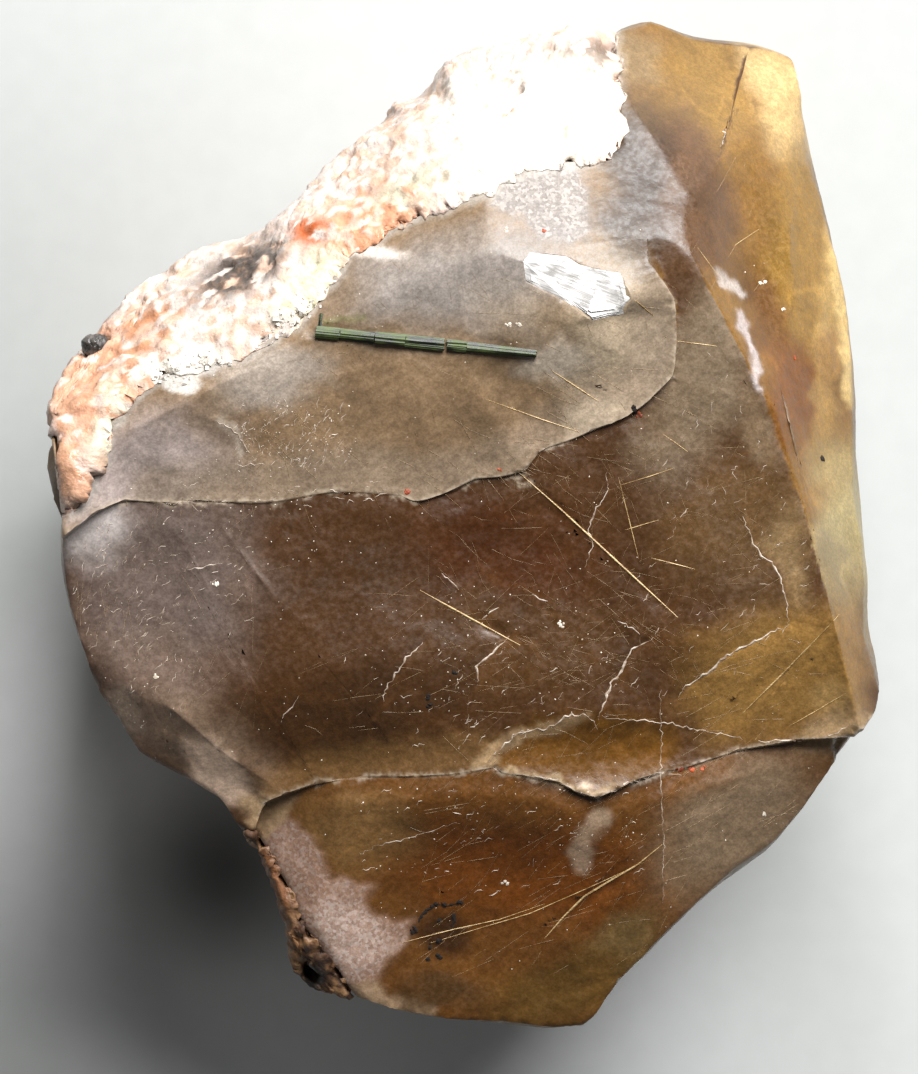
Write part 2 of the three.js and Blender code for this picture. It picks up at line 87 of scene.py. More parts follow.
def linear(code: str) -> Rgb:
    """Turns an sRGB hex colour into linear light.

    Args:
        code: Six hex digits, such as "b98f4a".

    Returns:
        Red, green and blue in linear light.
    """
    values = [int(code[i : i + 2], 16) / 255 for i in (0, 2, 4)]
    return tuple(v / 12.92 if v <= 0.04045 else ((v + 0.055) / 1.055) ** 2.4 for v in values)


def drawing_shift() -> Vector:
    """Returns the shift in metres from the drawing's origin to the frame's, seen on one needle."""
    low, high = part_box("rutile_needle_1")
    drawn_middle = Vector((6.9, -1.475, 0)) * MM
    middle = (low + high) / 2
    return Vector((middle.x - drawn_middle.x, middle.y - drawn_middle.y, 0))


# Outlines and lines, in millimetres in the plan drawing.
PLATE_OUTLINE: Sequence[Plan] = (
    (-23, -1.4), (-20.0, -1.1), (-18.3, 0.3), (-16.7, 0.9), (-15.0, 0.7), (-12.8, 0.9),
    (-10.6, 1.0), (-9.1, 1.1), (-7.7, 1.5), (-6.6, 1.7), (-5.2, 1.7), (-4.0, 1.6),
    (-2.8, 1.4), (-2.1, 1.0), (-1.2, 1.1), (0, 1.5), (0.9, 2.1), (2.0, 2.1),
    (3.2, 2.4), (3.7, 2.9), (4.3, 3.7), (5.6, 4.1), (6.9, 4.6), (7.9, 4.9),
    (8.6, 5.3), (9.7, 6.3), (10.5, 7.1), (10.6, 8.1), (10.7, 9.7), (10.8, 11.0),
    (10.1, 12.2), (9.5, 12.9), (9.5, 16.5), (9.8, 28), (-23, 28),
)
LOWER_OUTLINE: Sequence[Plan] = (
    (-10.8, -17.2), (-12, -28), (23, -28), (23, -10.0), (19.3, -10.8), (17.0, -11.1),
    (14.0, -11.6), (11.1, -12.5), (10.1, -12.6), (8.6, -13.1), (7.8, -13.5), (6.9, -13.9),
    (5.9, -13.6), (4.8, -13.0), (3.6, -12.8), (1.8, -12.6), (1.4, -12.3), (-0.2, -12.6),
    (-2.5, -12.8), (-4.7, -13.0), (-7.1, -13.3), (-9.8, -14.2),
)

LIP: Sequence[Plan] = (
    (-15.0, 1.3), (-10.6, 1.6), (-7.7, 2.1), (-4.0, 2.2), (-2.1, 1.7), (0, 2.1), (2.0, 2.8),
    (3.4, 3.4), (5.6, 4.8), (7.9, 5.6), (9.4, 7.0), (9.8, 9.7), (10.0, 11.0),
)
LOWER_LIP: Sequence[Plan] = (
    (-9.4, -13.4), (-7.1, -12.6), (-4.7, -12.2), (-2.5, -12.0), (-0.2, -11.8), (1.2, -11.6),
)
SHADE_OUTLINE: Sequence[Plan] = (
    (9.4, 12.4), (9.5, 16.4), (9.2, 19), (11, 20), (13, 18.5), (14, 15), (13.6, 12.6),
    (12.6, 12.3), (10.6, 12.1),
)
CONTACT: Sequence[Plan] = (
    (-19.1, 0.9), (-18.0, 2.8), (-17.7, 4.5), (-16.3, 6.3), (-14.8, 7.3), (-11.3, 8.1),
    (-8.5, 9.5), (-6.5, 11.8), (-5.8, 13.3), (-3.0, 14.8), (-0.5, 15.8), (1.5, 16.5),
    (3.0, 17.6), (5.0, 17.9), (7.0, 18.0), (7.9, 19.0), (7.9, 22.0), (7.6, 27),
)
RUST_SEAM: Sequence[Plan] = (
    (-6.2, -23.4), (-6.9, -22.2), (-8.4, -19.6), (-9.6, -16.6), (-10.2, -15.0), (-10.8, -13.6),
)
FROST_OUTLINE: Sequence[Plan] = (
    (-9.9, -15.0), (-8.75, -14.6), (-7.35, -15.95), (-6.4, -17.8), (-4.25, -18.25),
    (-4.8, -19.4), (-4.2, -19.75), (-2.5, -20.1), (-2.5, -20.95), (-3.75, -22.3),
    (-4.1, -23.4), (-6.15, -23.6), (-8.2, -20.5), (-9.4, -17.6), (-10.4, -15.8),
)
RIM_OUTLINE: Sequence[Plan] = (
    (-6.1, -23.45), (-4, -23.25), (-3.5, -24.0), (-1.35, -24.25), (-1.35, -25.2), (-6.1, -25.2),
)
TAN_OUTLINE: Sequence[Plan] = (
    (-11, -13.75), (-10.15, -13.65), (-8, -13.85), (-9, -15.25), (-9.9, -16), (-10.6, -15.5),
)
PALE_OUTLINE: Sequence[Plan] = (
    (-13.8, -11), (-12.2, -10.9), (-10.8, -12.6), (-10.4, -13.9), (-11.8, -14.4), (-13.2, -13.4),
)
CRYSTAL_OUTLINE: Sequence[Plan] = (
    (2.2, 16.8), (4.2, 17.9), (6.0, 18.0), (6.5, 16.4), (6.7, 14.4), (5.6, 13.6), (4.0, 13.8),
    (3.2, 14.9), (1.2, 15.7),
)
MARGIN_OUTLINE: Sequence[Plan] = (
    (-15.2, 7.0), (-14, 8.2), (-12.5, 8.8), (-11, 8.9), (-10.6, 8.3), (-11.6, 7.6), (-12.6, 7.2),
    (-13.4, 6.2), (-14.4, 6.3),
)
CHIP_OUTLINE: Sequence[Plan] = (
    (1.85, -12.25), (2.25, -11.4), (3, -10.9), (4.25, -10.6), (5.75, -10.1), (7, -10.4),
    (9, -10.65), (10.5, -11.1), (10.4, -12), (9, -12.4), (7.75, -12.9), (7, -13.65),
    (6.25, -13.5), (5, -13), (3.5, -12.75), (2.25, -12.5),
)


def add_node(tree: bpy.types.NodeTree, kind: str, inputs: dict | None = None, **settings):
    """Adds one shader node.

    Args:
        tree: The node tree that gets it.
        kind: The node's type, such as "ShaderNodeTexNoise".
        inputs: Values or sockets for its inputs, by name or index.
        **settings: Values for the node's own properties.

    Returns:
        The new node.
    """
    node = tree.nodes.new(kind)
    for name, value in settings.items():
        setattr(node, name, value)
    for key, value in (inputs or {}).items():
        socket = node.inputs[key]
        if isinstance(value, bpy.types.NodeSocket):
            tree.links.new(value, socket)
        else:
            socket.default_value = value
    return node


def smooth_share(value: np.ndarray, low: float, high: float) -> np.ndarray:
    """Returns 0 below low, 1 above high and a smooth curve between, for each value."""
    share = np.clip((value - low) / (high - low), 0, 1)
    return share * share * (3 - 2 * share)


def line_distance(points: np.ndarray, line: Sequence[Plan]) -> tuple[np.ndarray, np.ndarray]:
    """Finds how far points are from a line in plan.

    Args:
        points: N plan positions in millimetres.
        line: The line's corners.

    Returns:
        Each point's distance, and the nearest place on the line.
    """
    best = np.full(len(points), np.inf)
    nearest = np.zeros((len(points), 2))
    for start, end in zip(line[:-1], line[1:]):
        a, along = np.array(start, float), np.subtract(end, start)
        share = np.clip((points - a) @ along / max(along @ along, 1e-12), 0, 1)
        foot = a + share[:, None] * along
        away = np.linalg.norm(points - foot, axis=1)
        closer = away < best
        best[closer], nearest[closer] = away[closer], foot[closer]
    return best, nearest


def inside_outline(points: np.ndarray, outline: Sequence[Plan]) -> np.ndarray:
    """Returns which of N plan points lie inside a closed outline."""
    inside = np.zeros(len(points), bool)
    x, y = points[:, 0], points[:, 1]
    for (x0, y0), (x1, y1) in zip(outline, [*outline[1:], outline[0]]):
        if y0 == y1:
            continue
        crosses = (y0 > y) != (y1 > y)
        inside ^= crosses & (x < (x1 - x0) * (y - y0) / (y1 - y0) + x0)
    return inside


class Facet(Enum):
    """The named faces of the quartz that have a tone of their own."""

    PLATE = "plate"
    MAIN = "main"
    LOWER = "lower"
    RIGHT = "right"
    SIDES = "sides"


@dataclass(frozen=True)
class Stain:
    """A soft patch of tone, drawn in plan.

    Attributes:
        spot: Its middle in the plan drawing, in millimetres.
        size: Its half-widths.
        colour: Its sRGB hex colour.
        strength: How far it covers what is under it, from 0 to 1.
        turn: Its turn in plan, in degrees.
        facets: The facets it lies on; empty means all.
        haze: How milky it makes the quartz, from 0 to 1.
    """

    spot: Plan
    size: Plan
    colour: str
    strength: float = 0.8
    turn: float = 0
    facets: tuple[Facet, ...] = ()
    haze: float = 0

    def weight(self, plan: np.ndarray) -> np.ndarray:
        """Returns how strongly the stain covers each plan point."""
        turn = math.radians(self.turn)
        across = plan - np.array(self.spot)
        u = (across[:, 0] * math.cos(turn) + across[:, 1] * math.sin(turn)) / self.size[0]
        v = (across[:, 1] * math.cos(turn) - across[:, 0] * math.sin(turn)) / self.size[1]
        return self.strength * (1 - smooth_share(np.hypot(u, v), 0.35, 1.15))


@dataclass(frozen=True)
class Area:
    """A patch of tone with a drawn outline.

    Attributes:
        outline: Its corners in the plan drawing, in millimetres.
        edge: Half the width of its soft edge.
        colour: Its sRGB hex colour.
        strength: How far it covers what is under it, from 0 to 1.
        facets: The facets it lies on; empty means all.
        haze: How milky it makes the quartz, from 0 to 1.
    """

    outline: tuple[Plan, ...]
    edge: float
    colour: str
    strength: float = 0.8
    facets: tuple[Facet, ...] = ()
    haze: float = 0.5

    def weight(self, plan: np.ndarray) -> np.ndarray:
        """Returns how strongly the patch covers each plan point."""
        away, _ = line_distance(plan, (*self.outline, self.outline[0]))
        depth = np.where(inside_outline(plan, self.outline), away, -away)
        return self.strength * smooth_share(depth, -self.edge, self.edge)


@dataclass(frozen=True)
class Band:
    """A patch of tone along a line.

    Attributes:
        line: Its corners in the plan drawing, in millimetres.
        width: How far it reaches from the line.
        colour: Its sRGB hex colour.
        strength: How far it covers what is under it, from 0 to 1.
        facets: The facets it lies on; empty means all.
        haze: How milky it makes the quartz, from 0 to 1.
    """

    line: tuple[Plan, ...]
    width: float
    colour: str
    strength: float = 0.8
    facets: tuple[Facet, ...] = ()
    haze: float = 0.3

    def weight(self, plan: np.ndarray) -> np.ndarray:
        """Returns how strongly the band covers each plan point."""
        away, _ = line_distance(plan, self.line)
        return self.strength * (1 - smooth_share(away, 0.3 * self.width, self.width))


Marking = Stain | Area | Band


class Ground:
    """The refined surfaces that other pieces are laid on."""

    def __init__(self, shift: Vector) -> None:
        """Starts with no surface.

        Args:
            shift: The shift in metres from the drawing's origin to the frame's.
        """
        self.shift = shift
        self.quartz: BVHTree | None = None
        self.crusts: list[BVHTree] = []

    def cover(self, bm: bmesh.types.BMesh) -> None:
        """Takes a mesh as the quartz's surface."""
        self.quartz = BVHTree.FromBMesh(bm)

    def encrust(self, bm: bmesh.types.BMesh) -> None:
        """Adds a crust's surface."""
        self.crusts.append(BVHTree.FromBMesh(bm))

    def plan(self, points: np.ndarray) -> np.ndarray:
        """Turns N frame points in metres into plan positions in millimetres."""
        return (points[:, :2] - np.array(self.shift[:2])) / MM

    def place(self, spot: Plan, height: float = 0) -> Vector:
        """Turns a plan position and a height in millimetres into a frame point."""
        return Vector((spot[0] * MM, spot[1] * MM, height * MM)) + self.shift

    def over(self, spot: Plan, lift: float = 0, crusted: bool = False) -> tuple[Vector, Vector]:
        """Finds the surface under a plan position.

        Args:
            spot: The plan position in millimetres.
            lift: How far above the surface the point lies, in millimetres.
            crusted: Whether the crusts count as surface too.

        Returns:
            The point and the surface's normal there, which looks down where there is no surface.
        """
        start = self.place(spot, 60)
        best, facing = Vector((start.x, start.y, 0)), Vector((0, 0, -1))
        for tree in [self.quartz, *(self.crusts if crusted else ())]:
            hit, normal, _, _ = tree.ray_cast(start, Vector((0, 0, -1)))
            if hit is not None and hit.z > best.z:
                best, facing = hit, normal
        return best + facing * lift * MM, facing


def solid_copy(frame: dict, node: str) -> bmesh.types.BMesh:
    """Returns a bmesh of a CAD node with its loose triangles joined."""
    bm = bmesh.new()
    bm.from_mesh(frame["nodes"][node].data)
    bmesh.ops.remove_doubles(bm, verts=bm.verts, dist=0.001 * MM)
    return bm


def mark_ridges(bm: bmesh.types.BMesh, degrees: float, ledges: Callable | None = None) -> None:
    """Marks the edges whose faces meet at more than an angle as not smooth.

    Args:
        bm: The mesh.
        degrees: The angle.
        ledges: Tells for N frame points whether each is by a ledge; where it is given, a hollow
            edge, or one between two faces that look up, is a ridge only there.
    """
    limit = math.radians(degrees)
    middles = np.array([(edge.verts[0].co + edge.verts[1].co)[:] for edge in bm.edges]) / 2
    by_ledge = ledges(middles) if ledges else np.ones(len(middles), bool)
    for edge, beside in zip(bm.edges, by_ledge):
        low = all(face.normal.z > 0.35 for face in edge.link_faces)
        soft = not beside and (low or not edge.is_convex)
        edge.smooth = edge.calc_face_angle(0) < limit or soft


def split_long_edges(
    bm: bmesh.types.BMesh, fine: float, coarse: float, top: float, rounds: int = 5
) -> None:
    """Splits edges until none is too long for where it lies.

    Args:
        bm: The mesh, all triangles.
        fine: Longest edge on faces that look up, in millimetres.
        coarse: Longest edge elsewhere.
        top: Height in millimetres above which a face that looks up counts.
        rounds: The most times that edges are halved.
    """

    def longest(edge: bmesh.types.BMEdge) -> float:
        middle = (edge.verts[0].co.z + edge.verts[1].co.z) / 2
        looks_up = max((face.normal.z for face in edge.link_faces), default=0) > 0.2
        return (fine if looks_up and middle > top * MM else coarse) * MM

    for _ in range(rounds):
        bm.normal_update()
        long = [edge for edge in bm.edges if edge.calc_length() > longest(edge)]
        if not long:
            return
        bmesh.ops.subdivide_edges(bm, edges=long, cuts=1)
        bmesh.ops.triangulate(bm, faces=[face for face in bm.faces if len(face.verts) > 3])


def soften(bm: bmesh.types.BMesh, verts: list, rounds: int) -> None:
    """Smooths some vertices a number of times, and leaves the flat base alone."""
    free = [vert for vert in verts if vert.co.z > 0.05 * MM]
    for _ in range(rounds):
        bmesh.ops.smooth_vert(
            bm, verts=free, factor=0.5, use_axis_x=True, use_axis_y=True, use_axis_z=True
        )


def off_ridges(bm: bmesh.types.BMesh) -> list:
    """Returns the vertices that no marked ridge passes through."""
    return [vert for vert in bm.verts if all(edge.smooth for edge in vert.link_edges)]


def positions(bm: bmesh.types.BMesh) -> np.ndarray:
    """Returns the mesh's vertex positions in metres."""
    return np.array([vert.co[:] for vert in bm.verts])


def normals(bm: bmesh.types.BMesh) -> np.ndarray:
    """Returns the mesh's vertex normals."""
    return np.array([vert.normal[:] for vert in bm.verts])


def wobble(points: np.ndarray, length: float, offset: float = 0) -> np.ndarray:
    """Returns smooth noise from -1 to 1 for each point.

    Args:
        points: N points in millimetres, of two or three coordinates.
        length: The noise's wavelength in millimetres.
        offset: Moves the noise, so that two patterns differ.
    """
    deep = points.shape[1] == 3
    return np.array([
        noise.noise(Vector((p[0] / length + offset, p[1] / length, p[2] / length if deep else 0)))
        for p in points
    ])


def strayed(points: np.ndarray, far: float = 3.5) -> np.ndarray:
    """Returns a shift in plan for each point, which grows down the sides.

    The markings are laid out in plan, and without it they would run straight down the sides.

    Args:
        points: N points in millimetres.
        far: The largest shift.
    """
    low = 1 - smooth_share(points[:, 2], 10, 18)
    return np.stack([wobble(points, 3.2, 70 + k) * far * low for k in (0, 5)], axis=1)


def new_piece(
    name: str, bm: bmesh.types.BMesh, materials: Sequence[bpy.types.Material]
) -> bpy.types.Object:
    """Makes an object that rides on the body and takes the given materials.

    Args:
        name: The piece's name.
        bm: Its mesh, which is freed.
        materials: Its materials, in order.

    Returns:
        The object.
    """
    mesh = bpy.data.meshes.new(name)
    bm.to_mesh(mesh)
    bm.free()
    for material in materials:
        mesh.materials.append(material)
    piece = bpy.data.objects.new(name, mesh)
    bpy.context.scene.collection.objects.link(piece)
    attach(piece, BODY)
    LOG.info("%s: %d faces", name, len(mesh.polygons))
    return piece


def paint(mesh: bpy.types.Mesh, name: str, colours: np.ndarray) -> None:
    """Writes a colour for each vertex.

    Args:
        mesh: The mesh.
        name: The attribute's name.
        colours: N linear colours.
    """
    layer = mesh.attributes.new(name, "FLOAT_VECTOR", "POINT")
    layer.data.foreach_set("vector", np.ascontiguousarray(colours, np.float32).ravel())
    mesh.update_tag()


def weigh(mesh: bpy.types.Mesh, name: str, values: np.ndarray) -> None:
    """Writes a number for each vertex, as an attribute with the given name."""
    layer = mesh.attributes.new(name, "FLOAT", "POINT")
    layer.data.foreach_set("value", values.astype(np.float32))
    mesh.update_tag()


def new_material(name: str) -> tuple[bpy.types.NodeTree, bpy.types.Node, bpy.types.Node]:
    """Makes a material with a Principled shader.

    Args:
        name: The material's name.

    Returns:
        Its node tree, its shader and its output.
    """
    material = bpy.data.materials.new(name)
    material.use_nodes = True
    tree = material.node_tree
    return tree, tree.nodes["Principled BSDF"], tree.nodes["Material Output"]


def attribute(tree: bpy.types.NodeTree, name: str, output: str) -> bpy.types.NodeSocket:
    """Returns a socket that reads one of the piece's own attributes."""
    return add_node(tree, "ShaderNodeAttribute", attribute_name=name).outputs[output]


def millimetres(tree: bpy.types.NodeTree, turn: float = 0, scale: Sequence[float] = (1, 1, 1)):
    """Gives Object coordinates in millimetres.

    Args:
        tree: The node tree.
        turn: A turn about the upright axis, in degrees.
        scale: How many pattern units a millimetre is, along each axis.

    Returns:
        The socket with the coordinates.
    """
    own = add_node(tree, "ShaderNodeTexCoord").outputs["Object"]
    turned = add_node(
        tree, "ShaderNodeMapping", {"Vector": own, "Rotation": (0, 0, math.radians(turn))}
    )
    sizes = tuple(value / MM for value in scale)
    return add_node(
        tree, "ShaderNodeMapping", {"Vector": turned.outputs[0], "Scale": sizes}
    ).outputs[0]


def noise_of(tree: bpy.types.NodeTree, vector, length: float, detail: float = 3):
    """Returns a noise socket with a wavelength in millimetres."""
    return add_node(
        tree, "ShaderNodeTexNoise", {"Vector": vector, "Scale": 1 / length, "Detail": detail}
    ).outputs["Fac"]


def ranged(tree: bpy.types.NodeTree, value, low: float, high: float, to_low=0.0, to_high=1.0):
    """Returns a value mapped from one range to another, and held inside it."""
    return add_node(
        tree, "ShaderNodeMapRange",
        {0: value, 1: low, 2: high, 3: to_low, 4: to_high}, interpolation_type="SMOOTHSTEP",
    ).outputs[0]


def blended(tree: bpy.types.NodeTree, share, first, second, mode: str = "MIX"):
    """Mixes two colours.

    Args:
        tree: The node tree.
        share: A socket or number from 0 to 1.
        first: The colour at 0.
        second: The colour at 1.
        mode: The blend mode's name.

    Returns:
        The colour socket.
    """
    node = add_node(tree, "ShaderNodeMix", data_type="RGBA", blend_type=mode, clamp_factor=True)
    for index, value in ((0, share), (6, first), (7, second)):
        if isinstance(value, bpy.types.NodeSocket):
            tree.links.new(value, node.inputs[index])
        elif index == 0:
            node.inputs[index].default_value = value
        else:
            node.inputs[index].default_value = (*value, 1)
    return node.outputs[2]


def worked_out(tree: bpy.types.NodeTree, operation: str, first, second=0.0):
    """Returns the result of a Math node on one or two numbers or sockets."""
    return add_node(
        tree, "ShaderNodeMath", {0: first, 1: second}, operation=operation
    ).outputs[0]


def bumped(tree: bpy.types.NodeTree, layers: Iterable[tuple]):
    """Stacks bumps on each other.

    Args:
        tree: The node tree.
        layers: Pairs of a height socket and the height in millimetres that 1 stands for.

    Returns:
        The normal socket.
    """
    normal = None
    for height, depth in layers:
        inputs = {"Height": height, "Distance": depth * MM, "Strength": 1.0}
        if normal is not None:
            inputs["Normal"] = normal
        normal = add_node(tree, "ShaderNodeBump", inputs).outputs["Normal"]
    return normal


@dataclass(frozen=True)
class RutilatedQuartz:
    """Smoky quartz, broken: glassy where it is clear, and sugary where it is frosted.

    Attributes:
        silk_turn: Direction of the silky streaks in plan, in degrees.
        silk_width: Width of a streak in millimetres.
        sugar_grain: Size of a sugary grain in millimetres.
        dust_grain: Size of the finest mottling.
        lip_highlight_colour: The sRGB hex colour of the painted highlight along a ledge's lip.
    """

    silk_turn: float = 52
    silk_width: float = 0.2
    sugar_grain: float = 0.15
    dust_grain: float = 0.1
    # Painted highlight: the pale colour laid along the lips of the ledges.
    lip_highlight_colour: str = "d3bfa6"

    def silk(self, tree: bpy.types.NodeTree) -> bpy.types.NodeSocket:
        """Returns a socket near 1, with the silky streaks of a feathery break."""
        scale = (1 / self.silk_width, 1 / (self.silk_width * 6), 1 / self.silk_width)
        streaks = noise_of(tree, millimetres(tree, self.silk_turn, scale), 1, 3)
        return ranged(tree, streaks, 0.32, 0.7, 0.94, 1.07)

    def sugar(self, tree: bpy.types.NodeTree, haze: bpy.types.NodeSocket) -> bpy.types.NodeSocket:
        """Returns a socket that is 1 on bright sugary grains, where the quartz is frosted."""
        cells = add_node(
            tree, "ShaderNodeTexVoronoi",
            {"Vector": millimetres(tree), "Scale": 1 / self.sugar_grain},
        )
        one = add_node(tree, "ShaderNodeSeparateColor", {0: cells.outputs["Color"]}).outputs[0]
        bright = ranged(tree, one, 0.2, 1.0, 0, 0.18)
        return worked_out(tree, "MULTIPLY", bright, ranged(tree, haze, 0.55, 0.95))

    def material(self) -> bpy.types.Material:
        """Makes the material."""
        tree, shader, output = new_material("rutilated_quartz")
        at = millimetres(tree)
        tone, haze = attribute(tree, "tone", "Color"), attribute(tree, "haze", "Fac")
        # Painted highlight along the ledges' lips, read from the lump's own attribute.
        lip_highlight = attribute(tree, "lip_highlight", "Fac")
        fine = noise_of(tree, at, 0.28, 4)
        grain = worked_out(tree, "MULTIPLY", ranged(tree, fine, 0.3, 0.7, 0.88, 1.12), self.silk(tree))
        dust = ranged(tree, noise_of(tree, at, self.dust_grain, 2), 0.35, 0.65, 0.88, 1.12)
        grain = worked_out(tree, "MULTIPLY", grain, dust)
        colour = blended(tree, 1.0, tone, grain, "MULTIPLY")
        colour = blended(tree, self.sugar(tree, haze), colour, linear("fbf3ec"))
        # The painted highlight along the lips, broken up by noise.
        lip_glints = worked_out(tree, "MULTIPLY", lip_highlight, ranged(tree, fine, 0.36, 0.6, 0.2, 0.75))
        colour = blended(tree, lip_glints, colour, linear(self.lip_highlight_colour))
        rough = worked_out(
            tree, "ADD", ranged(tree, fine, 0.35, 0.7, 0.3, 0.48), worked_out(tree, "MULTIPLY", haze, 0.2)
        )
        shader.inputs["IOR"].default_value = 1.544
        shader.inputs["Specular IOR Level"].default_value = 0.2
        tree.links.new(colour, shader.inputs["Base Color"])
        tree.links.new(rough, shader.inputs["Roughness"])
        tree.links.new(ranged(tree, haze, 0, 1, 0.55, 0.1), shader.inputs["Transmission Weight"])
        broad = noise_of(tree, at, 0.6, 3)
        tree.links.new(bumped(tree, ((broad, 0.04),)), shader.inputs["Normal"])
        smoke = add_node(
            tree, "ShaderNodeVolumeAbsorption",
            {"Color": (*linear("e0b66e"), 1), "Density": 60.0},
        )
        tree.links.new(smoke.outputs[0], output.inputs["Volume"])
        return bpy.data.materials["rutilated_quartz"]


